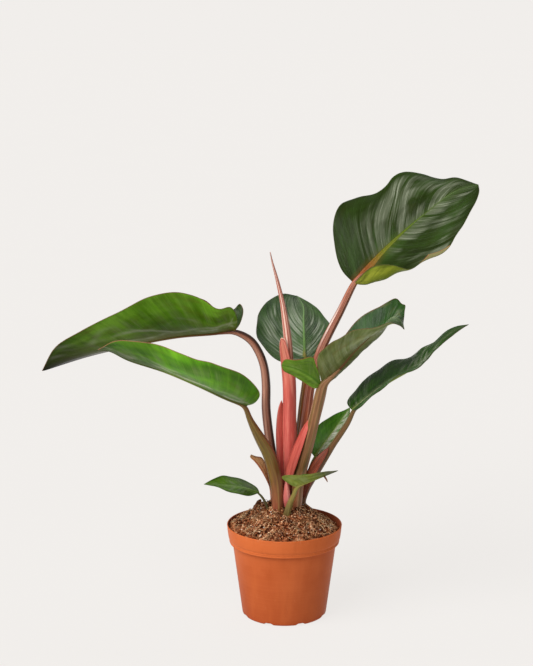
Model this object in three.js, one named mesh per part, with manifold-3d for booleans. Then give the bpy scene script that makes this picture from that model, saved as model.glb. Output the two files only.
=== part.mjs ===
// Potted congo rojo philodendron, in millimetres.
// The origin is the middle of the pot's underside. X is to the right as seen from the front, Y away from
// the front, Z up.
import * as THREE from "three";
import { mergeVertices } from "three/addons/utils/BufferGeometryUtils.js";
import Module from "manifold-3d";

const wasm = await Module();
wasm.setup();
const { Manifold, Mesh: SolidMesh } = wasm;

// Driving dimensions of the pot
const pot = {
  height: 123,
  rimRadius: 76,
  bandFoot: 72.8, // radius at the lower edge of the rim band
  bandHeight: 24,
  bodyTop: 68.7, // body radius just under the band
  heelRadius: 56.1, // where the wall turns in to the foot
  heelHeight: 4,
  footRadius: 53.5,
  wall: 1.6,
  floor: 4, // height of the floor's inner face
  discRadius: 30, // the flat disc in the middle of the underside
  grooveRadius: 46, // outer radius of the drain groove round that disc
  grooveDepth: 1.8,
  notches: 8,
  notchWidth: 11,
  notchHeight: 3,
  notchInset: 2, // how far a notch cuts into the groove
};
const turnSides = 48;

// Driving dimensions of the soil, which is mounded round the plant
const soil = {
  edge: 119.5, // height where it meets the pot
  plateau: 149, // height round the stem
  plateauRadius: 22,
  fall: 1.2, // power of the mound's slope: above 1, it is steepest at the plateau
  backDip: 6, // how much lower it lies at the back right
  lump: 1.6, // height of the lumps
  rings: 9,
};

// Colours and finish, as in daylight
const finish = {
  blade: { color: 0x3c5a34, roughness: 0.38 },
  stalk: { color: 0x8a5a40, roughness: 0.45 },
  sheath: { color: 0xd9605c, roughness: 0.5 },
  dry: { color: 0x9a6a4a, roughness: 0.8 },
  soil: { color: 0x5a3a28, roughness: 0.95 },
  pot: { color: 0xc8683c, roughness: 0.5 },
};

// Clear space between the pot and the soil, and between the soil and what stands in it
const gap = 0.3;
const clearance = 0.35;
const weld = 1e-3; // vertices closer than this are one

// Sizes shared by all leaves, sheaths and stalks
const bladeThickness = 1.2;
const sheathThickness = 1.2;
const stalkSides = 8;
const stalkStep = 16; // length of a stalk's facets
const level = [0, 0, 0];
const ribPace = 1.3; // above 1, a side vein leaves the rib nearer the base than it meets the margin
const keelTaper = 0.8; // share of the rib's keel that is lost on the way to the tip
const largeBlade = { stations: 18, rows: [0.08, 0.35, 0.65, 0.88, 1], keel: 2.6, wave: 1.4, waves: 5 };
const smallBlade = { stations: 11, rows: [0.12, 0.55, 1], keel: 1.2, wave: 0.6, waves: 3 };
const sheathBlade = { stations: 10, rows: [0.5, 1], keel: 0, wave: 0, waves: 0 };

// Each leaf has three rails, as x, y, z. The rib runs from the top of the stalk to the tip. The margins
// leave the same base round the lobes and end at the same tip, and list only what lies between. left and
// right are as seen from above, looking from the base to the tip.
// A belly is how far the middle of a half leaves the straight line, in steps from base to tip.
// A stalk's points are x, y, z and the width there, from the soil up. It ends just under its blade.
const leaves = {
  arching_left: {
    ...largeBlade,
    rib: [
      [-65, 8, 382], [-93, 14, 377], [-139, 22, 371], [-196, 27, 359], [-255, 26, 345], [-318, 18, 326],
    ],
    left: [
      [-61, -4, 397], [-65, -14, 413], [-71, -20, 419], [-85, -24, 417], [-104, -27, 429],
      [-121, -29, 436], [-141, -29, 440], [-173, -22, 432], [-214, -10, 410], [-265, 3, 382],
      [-299, 11, 359],
    ],
    right: [
      [-58, 18, 389], [-54, 32, 405], [-59, 40, 412], [-66, 48, 403], [-78, 57, 395], [-90, 68, 398],
      [-106, 80, 409], [-123, 86, 412], [-160, 88, 410], [-206, 78, 396], [-258, 58, 371],
      [-298, 36, 347],
    ],
    leftBelly: [[0, -8, -5], [0, -8, -4]],
    rightBelly: [[0, 5, -9], [0, 4, -8]],
    stalk: [
      [-10, 4, 128, 12], [-10, 5, 165, 13], [-14, 6, 200, 13], [-20, 7, 241, 12.5], [-24, 8, 278, 12],
      [-24, 8, 309, 11.6], [-27, 8, 335, 11], [-34, 8, 354, 10.6], [-45, 8, 370, 10],
      [-62.2, 8, 380.3, 7],
    ],
  },
  lower_left: {
    ...largeBlade,
    rib: [
      [-50, -28, 291], [-73, -38, 302], [-109, -50, 322], [-152, -56, 342], [-199, -54, 357],
      [-222, -48, 367], [-238, -44, 368],
    ],
    left: [
      [-38, -40, 298], [-32, -54, 311], [-39, -74, 330], [-59, -88, 349], [-89, -96, 362],
      [-110, -98, 367], [-129, -98, 376], [-155, -94, 384], [-186, -84, 388], [-212, -70, 385],
    ],
    right: [
      [-41, -18, 294], [-38, -6, 303], [-48, 6, 313], [-74, 14, 323], [-111, 14, 333], [-149, 4, 348],
      [-187, -12, 359], [-218, -32, 366],
    ],
    leftBelly: [[0, -6, -5], [0, -5, -4]],
    rightBelly: [[0, 3, -6], [0, 3, -5]],
    stalk: [
      [-9, -15, 128, 14], [-10, -15, 174, 16.5], [-14, -17, 201, 17], [-21, -20, 225, 16.5],
      [-30, -23, 242, 14.5], [-39, -25, 259, 11], [-46, -27, 274, 7.5], [-49.2, -27.8, 287.6, 6],
    ],
  },
  top_right: {
    ...largeBlade,
    rib: [[90, 32, 440], [111, 40, 462], [149, 58, 497], [189, 76, 528], [225, 86, 553], [257, 92, 562]],
    left: [
      [75, 44, 455], [66, 60, 482], [65, 76, 514], [75, 92, 537], [96, 104, 543], [119, 112, 547],
      [141, 124, 562], [159, 130, 573], [185, 128, 573], [212, 120, 566], [229, 112, 569],
    ],
    right: [
      [100, 22, 453], [111, 10, 465], [123, -2, 470], [139, -12, 471], [150, -17, 469], [160, -20, 468],
      [173, -20, 475], [187, -16, 481], [199, -11, 486.5], [212, -2, 496], [223, 14, 509],
      [232, 30, 520], [242, 48, 531], [252, 66, 545], [257, 80, 555],
    ],
    leftBelly: [[0, -4, 3], [0, -4, 3]],
    rightBelly: [
      [5, -2, -12], [8, -4, -18], [4, -4, -8], [3, -4, -6], [2, -5, -4], [1, -5, -3], [0, -4, -3],
      [0, -3, -2],
    ],
    stalk: [
      [18, 18, 128, 11], [19, 18, 177, 12.4], [23, 18, 225, 12.4], [30, 19, 273, 12], [36, 21, 310, 11.8],
      [46, 24, 343, 11.5], [55, 26, 364, 11], [74, 30, 404, 9.8], [88.9, 31.9, 437.5, 8],
    ],
  },
  back: {
    ...largeBlade,
    rib: [[27, 40, 339], [27, 74, 353], [27, 120, 371], [27, 162, 385], [19, 190, 394]],
    left: [
      [16, 28, 336], [-3, 26, 336], [-23, 34, 348], [-35, 54, 362], [-37, 84, 378], [-30, 118, 391],
      [-15, 150, 399], [2, 174, 400],
    ],
    right: [
      [34, 38, 335], [46, 50, 336], [58, 80, 347], [64, 114, 358], [62, 146, 365], [51, 168, 376],
      [37, 182, 386],
    ],
    leftBelly: [[0, 0, -4], [0, 0, -4]],
    rightBelly: [[0, 0, -4], [0, 0, -4]],
    stalk: [
      [6, 26, 128, 10], [11, 29, 175, 10.4], [19, 31, 229, 10], [24, 32, 277, 9.4], [28, 34, 313, 8.6],
      [27.2, 39, 334.9, 7],
    ],
  },
  middle_right: {
    ...largeBlade,
    rib: [
      [48, -14, 316], [67, -20, 335], [88, -26, 362], [111, -30, 385], [127, -34, 399], [137, -36, 409],
      [145, -38, 406], [151, -40, 393],
    ],
    left: [
      [59, 4, 322], [63, 16, 338], [69, 22, 354], [80, 26, 374], [92, 28, 389], [108, 30, 401],
      [124, 30, 410], [140, 27, 419], [146, 23, 421.5], [151.5, 16, 416], [155.5, 7, 416.5],
      [153.5, -8, 408], [151, -24, 399],
    ],
    right: [
      [39, -20, 311], [18, -30, 326], [-1, -38, 338], [-5, -40, 347], [2, -42, 354], [23, -46, 357],
      [36, -54, 361], [64, -72, 387], [79, -78, 398], [97, -80, 402], [115, -76, 405], [131, -66, 407],
      [143, -54, 402],
    ],
    leftBelly: [[11, 0, -14], [13, 0, -15], [11, 0, -14], [1, 0, -2]],
    rightBelly: [[0, -3, -2], [0, -5, -4]],
    stalk: [
      [14, -10, 128, 13.5], [17, -10, 172, 15.5], [21, -11, 200, 16.5], [27, -12, 224, 16.8],
      [33, -12, 246, 15.4], [38, -12, 267, 13.4], [43, -12, 288, 12.3], [47, -13, 305, 12],
      [47.6, -13.6, 312, 9.5],
    ],
  },
  far_right: {
    ...largeBlade,
    rib: [
      [88, -6, 279], [106, -11, 296], [133, -17, 319], [158, -18, 334], [182, -15, 349], [196, -12, 366],
      [215, -9, 383], [237, -6, 393],
    ],
    left: [
      [82, 6, 284], [86, 22, 290], [103, 38, 305], [133, 42, 329], [161, 34, 340], [182, 22, 356],
      [193, 14, 365], [208, 12, 379], [224, 4, 389],
    ],
    right: [
      [92, -18, 282], [103, -34, 296], [127, -50, 322], [152, -52, 340], [172, -46, 346], [183, -36, 354],
      [188, -28, 361], [204, -26, 373], [222, -16, 386],
    ],
    leftBelly: [[0, 0, 3], [0, 0, 2]],
    rightBelly: [[0, 0, 2], [0, 0, 2]],
    stalk: [
      [22, 4, 128, 11.5], [30, 2, 168, 13], [41, -1, 193, 12], [53, -4, 215, 10], [64, -5, 233, 8],
      [75, -6, 250, 7.6], [84, -6, 265, 6.8], [87.7, -6, 277.8, 5.4],
    ],
  },
  small_lower_right: {
    ...smallBlade,
    rib: [[40, 14, 210], [52, 18, 227], [68, 22, 248], [87, 26, 275]],
    left: [[35, 18, 216], [35, 28, 232], [46, 36, 248], [63, 38, 260], [78, 34, 268]],
    right: [[48, 12, 214], [61, 12, 226], [76, 14, 243], [85, 20, 260]],
    stalk: [[29, 16, 128, 5], [30, 15, 164, 5], [34, 14, 192, 4.6], [39.7, 14, 209.1, 4]],
  },
  small_front: {
    ...smallBlade,
    rib: [[14, -38, 185], [27, -42, 191], [45, -44, 199], [69, -38, 207]],
    left: [[9, -32, 188], [4, -26, 194], [17, -23, 196], [35, -24, 198], [53, -30, 203]],
    right: [[7, -42, 189], [-5, -48, 202], [12, -56, 206], [34, -60, 209], [51, -54, 210]],
    stalk: [[1, -26, 130, 6.5], [6, -31, 160, 6.2], [12, -36, 172, 5.4], [13.7, -37.7, 183.3, 4.6]],
  },
  small_left: {
    ...smallBlade,
    rib: [[-33, -12, 169], [-50, -22, 178], [-71, -30, 184], [-105, -40, 189]],
    left: [[-44, -32, 171], [-57, -44, 176], [-72, -50, 182], [-90, -47, 188]],
    right: [[-36, -3, 173], [-47, 3, 179], [-61, 0, 185], [-79, -14, 193], [-93, -29, 193]],
    stalk: [[-19, -16, 132, 4], [-22, -14, 148, 3.6], [-26, -13, 158, 3.2], [-32.5, -12.1, 168.2, 2.8]],
  },
};

// The papery sheaths that wrapped each new leaf, with rails like a leaf's
const sheaths = {
  main_cataphyll: {
    rib: [
      [6, -2.3, 156], [5, -8, 185], [6, -9, 226], [6, -8, 266], [5, -6, 313], [0, -2, 345], [-5, 1, 374],
    ],
    left: [[0, -5, 172], [-1, -3, 200], [-2, 2, 257], [-2, 4, 304], [-5, 5, 341], [-7, 4, 364]],
    right: [
      [9, -6, 172], [11, -4, 200], [16, 3, 236], [15, 6, 269], [15, 7, 300], [12, 0, 326], [3, -2, 343],
      [-1, 0, 358],
    ],
    wrap: 3,
  },
  left_cataphyll: {
    rib: [[-3, -3, 172], [-7, -4, 205], [-9, -2, 245], [-8, 1, 275], [-4, 4, 290]],
    left: [[-8.5, 0.5, 200], [-11, 5, 236], [-10, 8, 265], [-7, 7, 282]],
    right: [[-4, -3, 205], [-4, -1, 238], [-4, 2, 264], [-4, 4, 280]],
    wrap: 1,
  },
  right_cataphyll: {
    rib: [[3, -12, 180], [7, -15, 208], [15, -13, 234], [22, -11, 253], [30, -7, 268]],
    left: [[3, -12, 206], [11, -10, 225], [18, -8, 242], [25, -7, 258]],
    right: [[10, -16, 200], [17, -16, 226], [23, -14, 245], [29, -10, 261]],
    wrap: 1,
  },
  dry_cataphyll: {
    rib: [[-17.4, 4, 150], [-23, 1, 180], [-33, 0, 206], [-45, 2, 218]],
    left: [[-24, -2, 176], [-30, -4, 196], [-38, -4, 211], [-45, -1, 212]],
    right: [[-19, 8, 176], [-24, 10, 199], [-30, 10, 211], [-37, 7, 213]],
    wrap: 1,
  },
};

// The rolled new leaf: x, y, z and width up its middle
const spear = [
  [7, 6, 186.5, 9], [8, 7, 235, 11], [7, 7, 289, 11], [6, 7, 343, 11], [4, 7, 370, 10.6],
  [1, 7, 394, 9.2], [-3, 7, 419, 6.6], [-7, 7, 437, 5.2], [-12, 7, 457, 3.6], [-16, 7, 471, 2.4],
  [-19, 7, 485, 1.2],
];

// The short stem that the stalks grow from
const crown = [[6, 6, 112, 17], [6, 6, 140, 17], [7, 6, 165, 14], [7, 6, 186, 9]];

function curveThrough(points) {
  return new THREE.CatmullRomCurve3(points.map(([x, y, z]) => new THREE.Vector3(x, y, z)));
}

function marginOf(spec, between) {
  return curveThrough([spec.rib[0], ...between, spec.rib.at(-1)]);
}

function bellyOf(between = []) {
  return curveThrough([level, ...between, level]);
}

// A closed blade on the rails of a leaf or a sheath: upper and lower skins with the same triangles, and a
// rim round them.
function blade(spec, thickness) {
  const { stations, rows } = spec;
  const rib = curveThrough(spec.rib);
  const halves = [
    { side: -1, margin: marginOf(spec, spec.left), belly: bellyOf(spec.leftBelly) },
    { side: 1, margin: marginOf(spec, spec.right), belly: bellyOf(spec.rightBelly) },
  ];
  const middle = [];
  const keel = [];
  const reach = []; // how much of the edge wave a point takes, with its sign
  const indexOf = new Map();
  const add = (name, point, keelHere, waveHere) => {
    indexOf.set(name, middle.length);
    middle.push(point);
    keel.push(keelHere);
    reach.push(waveHere);
  };
  add("base", rib.getPointAt(0), spec.keel, 0);
  add("tip", rib.getPointAt(1), 0, 0);
  for (let i = 1; i < stations; i++) {
    const along = i / stations;
    const ribPoint = rib.getPointAt(along ** ribPace);
    add(`${i} 0`, ribPoint, spec.keel * (1 - keelTaper * along), 0);
    for (const { side, margin, belly } of halves) {
      const edge = margin.getPointAt(along);
      const sag = belly.getPoint(along);
      const swell = Math.sin(Math.PI * along) * Math.sin(2 * Math.PI * spec.waves * along + side);
      const ripple = spec.wave * swell;
      rows.forEach((across, row) => {
        const point = ribPoint.clone().lerp(edge, across);
        point.addScaledVector(sag, 4 * across * (1 - across));
        add(`${i} ${side * (row + 1)}`, point, 0, ripple * across ** 2);
      });
    }
  }
  const at = (station, column) => {
    if (station === 0) return indexOf.get("base");
    if (station === stations) return indexOf.get("tip");
    return indexOf.get(`${station} ${column}`);
  };

  const triangles = [];
  for (let i = 0; i < stations; i++) {
    for (let column = -rows.length; column < rows.length; column++) {
      const corners = [at(i, column), at(i, column + 1), at(i + 1, column + 1), at(i + 1, column)];
      triangles.push([corners[0], corners[1], corners[2]], [corners[0], corners[2], corners[3]]);
    }
  }
  const skin = triangles.filter(([a, b, c]) => a !== b && b !== c && c !== a);

  const normals = vertexNormals(middle, skin);
  middle.forEach((point, n) => point.addScaledVector(normals[n], reach[n]));
  const upper = middle.map((point, n) => point.clone().addScaledVector(normals[n], thickness / 2));
  const lower = middle.map((point, n) => {
    return point.clone().addScaledVector(normals[n], -thickness / 2 - keel[n]);
  });
  const below = middle.length;
  const faces = [];
  for (const [a, b, c] of skin) {
    faces.push([a, b, c], [below + c, below + b, below + a]);
  }
  for (let i = 0; i < stations; i++) {
    const rims = [
      [at(i + 1, -rows.length), at(i, -rows.length)], [at(i, rows.length), at(i + 1, rows.length)],
    ];
    for (const [from, to] of rims) {
      faces.push([from, below + from, below + to], [from, below + to, to]);
    }
  }
  return geometryOf([...upper, ...lower], faces);
}

function vertexNormals(points, triangles) {
  const normals = points.map(() => new THREE.Vector3());
  for (const [a, b, c] of triangles) {
    const edge = points[b].clone().sub(points[a]);
    const face = edge.cross(points[c].clone().sub(points[a]));
    for (const n of [a, b, c]) {
      normals[n].add(face);
    }
  }
  return normals.map((normal) => normal.normalize());
}

// A sheath's halves curl back from its rib, by the distance wrap
function sheath(spec) {
  const curl = (margin) => {
    const ribMiddle = curveThrough(spec.rib).getPointAt(0.5);
    const out = ribMiddle.sub(marginOf(spec, margin).getPointAt(0.5));
    const turned = new THREE.Vector3(out.y, -out.x, 0).normalize();
    const outward = turned.y < 0 ? turned : turned.negate();
    const bend = outward.multiplyScalar(spec.wrap).toArray();
    return [bend, bend];
  };
  const full = { ...sheathBlade, ...spec, leftBelly: curl(spec.left), rightBelly: curl(spec.right) };
  return blade(full, sheathThickness);
}

// A round stalk through points with widths. It is grown by extra round its side and at its foot.
function stalk(points, extra = 0) {
  const path = curveThrough(points);
  const widths = curveThrough(points.map(([, , , width]) => [width, 0, 0]));
  const stations = Math.max(3, Math.round(path.getLength() / stalkStep));
  const vertices = [];
  const faces = [];
  for (let i = 0; i <= stations; i++) {
    const turn = path.getUtoTmapping(i / stations);
    const tangent = path.getTangent(turn);
    const centre = path.getPoint(turn).addScaledVector(tangent, i === 0 ? -extra : 0);
    const side = new THREE.Vector3(0, 1, 0).cross(tangent).normalize();
    const depth = tangent.clone().cross(side);
    const radius = widths.getPoint(turn).x / 2 + extra;
    for (let n = 0; n < stalkSides; n++) {
      const angle = (2 * Math.PI * n) / stalkSides;
      const rim = centre.clone().addScaledVector(side, radius * Math.cos(angle));
      vertices.push(rim.addScaledVector(depth, radius * Math.sin(angle)));
    }
  }
  for (let i = 0; i < stations; i++) {
    for (let n = 0; n < stalkSides; n++) {
      const next = (n + 1) % stalkSides;
      const low = i * stalkSides;
      const high = low + stalkSides;
      faces.push([low + n, low + next, high + next], [low + n, high + next, high + n]);
    }
  }
  const top = stations * stalkSides;
  for (let n = 1; n < stalkSides - 1; n++) {
    faces.push([0, n + 1, n], [top, top + n, top + n + 1]);
  }
  return geometryOf(vertices, faces);
}

function geometryOf(points, faces) {
  const geometry = new THREE.BufferGeometry().setFromPoints(points);
  geometry.setIndex(faces.flat());
  geometry.computeVertexNormals();
  return geometry;
}

// A closed solid, which can be cut, from a geometry
function solidOf(geometry) {
  const shape = geometry.clone();
  shape.deleteAttribute("normal");
  shape.deleteAttribute("uv");
  const merged = mergeVertices(shape, weld);
  const corners = merged.index.array;
  const kept = [];
  for (let n = 0; n < corners.length; n += 3) {
    const [a, b, c] = corners.slice(n, n + 3);
    if (a !== b && b !== c && c !== a) {
      kept.push(a, b, c);
    }
  }
  const vertProperties = merged.attributes.position.array;
  return new Manifold(new SolidMesh({ numProp: 3, vertProperties, triVerts: new Uint32Array(kept) }));
}

function geometryFrom(solid) {
  const { vertProperties, triVerts } = solid.getMesh();
  const geometry = new THREE.BufferGeometry();
  geometry.setAttribute("position", new THREE.BufferAttribute(new Float32Array(vertProperties), 3));
  geometry.setIndex(new THREE.BufferAttribute(new Uint32Array(triVerts), 1));
  geometry.computeVertexNormals();
  return geometry;
}

function meshOf(name, geometry, look) {
  const material = new THREE.MeshStandardMaterial({ ...finish[look], metalness: 0 });
  const mesh = new THREE.Mesh(geometry, material);
  mesh.name = name;
  return mesh;
}

// A solid of revolution round the Z axis from points of radius and height
function turned(outline) {
  const points = outline.map(([radius, height]) => new THREE.Vector2(radius, height));
  return new THREE.LatheGeometry(points, turnSides).rotateX(Math.PI / 2);
}

// The inside of the pot, as radius and height, drawn in by inset
function potInside(inset) {
  const bandStart = pot.height - pot.bandHeight;
  return [
    [pot.heelRadius - pot.wall - inset, pot.floor + inset],
    [pot.bodyTop - pot.wall - inset, bandStart + inset],
    [pot.bandFoot - pot.wall - inset, bandStart + pot.wall + inset],
    [pot.rimRadius - pot.wall - inset, pot.height],
  ];
}

function potShape() {
  const bandStart = pot.height - pot.bandHeight;
  const outline = [
    [0, 0],
    [pot.discRadius, 0],
    [pot.discRadius, pot.grooveDepth],
    [pot.grooveRadius, pot.grooveDepth],
    [pot.grooveRadius, 0],
    [pot.footRadius, 0],
    [pot.heelRadius, pot.heelHeight],
    [pot.bodyTop, bandStart],
    [pot.bandFoot, bandStart],
    [pot.rimRadius, pot.height],
    ...potInside(0).reverse(),
    [0, pot.floor],
  ];
  const cutters = [];
  for (let n = 0; n < pot.notches; n++) {
    const cutter = new THREE.BoxGeometry(pot.footRadius, pot.notchWidth, 2 * pot.notchHeight);
    cutter.translate(pot.grooveRadius - pot.notchInset + pot.footRadius / 2, 0, 0);
    cutter.rotateZ((2 * Math.PI * (n + 0.5)) / pot.notches);
    cutters.push(solidOf(cutter));
  }
  return geometryFrom(solidOf(turned(outline)).subtract(Manifold.union(cutters)));
}

// The soil's upper side: a mound whose height falls off from the plateau to the edge
function soilHeight(x, y) {
  const radius = Math.hypot(x, y);
  const slope = pot.rimRadius - soil.plateauRadius;
  const away = Math.min(1, Math.max(0, (radius - soil.plateauRadius) / slope));
  const mound = soil.edge + (soil.plateau - soil.edge) * (1 - away) ** soil.fall;
  const dip = soil.backDip * away * Math.max(0, (x + y) / (radius + 1));
  const lumps = Math.sin(x / 5.3 + 1) * Math.cos(y / 6.1) + 0.6 * Math.sin((x + y) / 3.7);
  return mound - dip + soil.lump * lumps * (1 - away ** 4);
}

// The soil inside the pot, with a hole for the stem and for each stalk
function soilShape(standing) {
  const [floorPoint, bodyPoint, stepPoint, rimPoint] = potInside(gap);
  const lowest = soil.edge - Math.SQRT2 * soil.backDip - soil.lump;
  const topShare = (lowest - stepPoint[1]) / (rimPoint[1] - stepPoint[1]);
  const edgeRadius = stepPoint[0] + (rimPoint[0] - stepPoint[0]) * topShare;
  const outline = [[0, floorPoint[1]], floorPoint, bodyPoint, stepPoint];
  for (let n = 0; n <= soil.rings; n++) {
    outline.push([edgeRadius * (1 - n / soil.rings), soil.edge]);
  }
  const mound = turned(outline);
  const position = mound.getAttribute("position");
  for (let n = 0; n < position.count; n++) {
    if (position.getZ(n) > soil.edge - weld) {
      position.setZ(n, soilHeight(position.getX(n), position.getY(n)));
    }
  }
  const holes = standing.map((points) => solidOf(stalk(points, clearance)));
  return geometryFrom(solidOf(mound).subtract(Manifold.union(holes)));
}

const pottedPlant = new THREE.Group();
pottedPlant.name = "potted_congo_rojo_philodendron";

const foliage = new THREE.Group();
for (const [name, spec] of Object.entries(leaves)) {
  const leaf = new THREE.Group();
  leaf.add(meshOf(`${name}_blade`, blade(spec, bladeThickness), "blade"));
  leaf.add(meshOf(`${name}_stalk`, stalk(spec.stalk), "stalk"));
  foliage.add(leaf);
}
for (const [name, spec] of Object.entries(sheaths)) {
  foliage.add(meshOf(name, sheath(spec), name === "dry_cataphyll" ? "dry" : "sheath"));
}
foliage.add(meshOf("spear", stalk(spear), "sheath"));
foliage.add(meshOf("crown_stem", stalk(crown), "stalk"));

const standing = [crown, ...Object.values(leaves).map((spec) => spec.stalk)];
pottedPlant.add(foliage);
pottedPlant.add(meshOf("soil", soilShape(standing), "soil"));
pottedPlant.add(meshOf("pot", potShape(), "pot"));

export default pottedPlant;
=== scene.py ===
"""The looks of a potted congo rojo philodendron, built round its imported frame.

Points are in millimetres, as x, y and z from the middle of the pot's underside, and MM turns them into
metres. X is to the right as seen from the front, Y away from the front, Z up.
"""

import math
import random

import bpy
import numpy as np
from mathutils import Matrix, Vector, noise


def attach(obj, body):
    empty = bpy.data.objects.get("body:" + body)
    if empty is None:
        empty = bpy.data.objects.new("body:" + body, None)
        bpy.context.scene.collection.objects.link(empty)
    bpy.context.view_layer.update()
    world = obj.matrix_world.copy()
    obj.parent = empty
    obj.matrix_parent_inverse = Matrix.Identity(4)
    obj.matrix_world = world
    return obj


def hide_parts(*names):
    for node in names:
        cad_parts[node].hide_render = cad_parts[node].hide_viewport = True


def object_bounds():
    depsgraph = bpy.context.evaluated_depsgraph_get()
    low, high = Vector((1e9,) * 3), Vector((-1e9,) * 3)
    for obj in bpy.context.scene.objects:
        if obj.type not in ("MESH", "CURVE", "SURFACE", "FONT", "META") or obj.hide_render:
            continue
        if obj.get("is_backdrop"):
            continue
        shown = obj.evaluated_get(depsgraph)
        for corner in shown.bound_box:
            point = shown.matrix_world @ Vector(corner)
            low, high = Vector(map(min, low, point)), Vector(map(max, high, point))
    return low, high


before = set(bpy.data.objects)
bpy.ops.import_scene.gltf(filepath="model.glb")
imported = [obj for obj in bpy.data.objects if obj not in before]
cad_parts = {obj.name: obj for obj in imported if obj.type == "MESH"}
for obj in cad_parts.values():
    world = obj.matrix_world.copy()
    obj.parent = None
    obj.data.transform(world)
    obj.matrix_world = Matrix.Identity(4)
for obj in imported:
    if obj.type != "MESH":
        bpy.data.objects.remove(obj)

cad_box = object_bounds()
MM = 0.001
BODY = "root"

# How blades are made. stations and rows say how finely: along the leaf, and from the rib to each margin.
# rib_width and keel are the reach and height of the ridge under the rib, and wave and waves the height and
# number of the margin's ripples. Each half has that many veins. sweep is how far they lean towards the tip,
# and bow how much they bend on the way. quilt, undulation and streak are the heights of the relief.
LARGE = dict(
    stations=190, rows=44, rib_width=2.7, keel=2.6, thickness=0.8, wave=1.4, waves=5,
    veins=23, sweep=0.1, bow=1.3, quilt=0.16, undulation=0.8, streak=0.16,
)
SMALL = dict(
    stations=90, rows=24, rib_width=1.2, keel=1.2, thickness=0.7, wave=0.6, waves=3,
    veins=13, sweep=0.1, bow=1.3, quilt=0.08, undulation=0.3, streak=0.06,
)
LOBE_FORM = dict(SMALL, stations=60, keel=0.15, rib_width=0.6, thickness=0.8, veins=6)
SHEATH = dict(stations=90, rows=14, rib_width=1.5, thickness=0.9)
# What single blades have otherwise. pleats are the height, side and reach of folds beside the rib, with -1
# for left.
CHANGES = {
    "arching_left": dict(pleats=(1.2, -1, 34)),
    "lower_left": dict(pleats=(0.9, -1, 26)),
    "top_right": dict(sweep=0.26, bow=1.1),
    "back": dict(sweep=0.6, bow=0.9, streak=0.1),
}
RIB_PACE = 1.3  # above 1, a side vein leaves the rib nearer the base than it meets the margin
# Over how many millimetres the bends of the curves are evened out
BLADE_SOFTEN = 2.5
SHEATH_SOFTEN = 2.0
STALK_SOFTEN = 5.0
EDGE_ROUNDING = 0.8  # how far inside a margin the sheet has its full thickness
# A large leaf's stalk runs on under the rib: how far from the base, and the share of its width there
RUN_ON = [(1.5, 1.0), (9, 0.72), (19, 0.5), (32, 0.3)]
SMALL_RUN_ON = 0.4  # how much shorter that is on a small leaf

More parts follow.
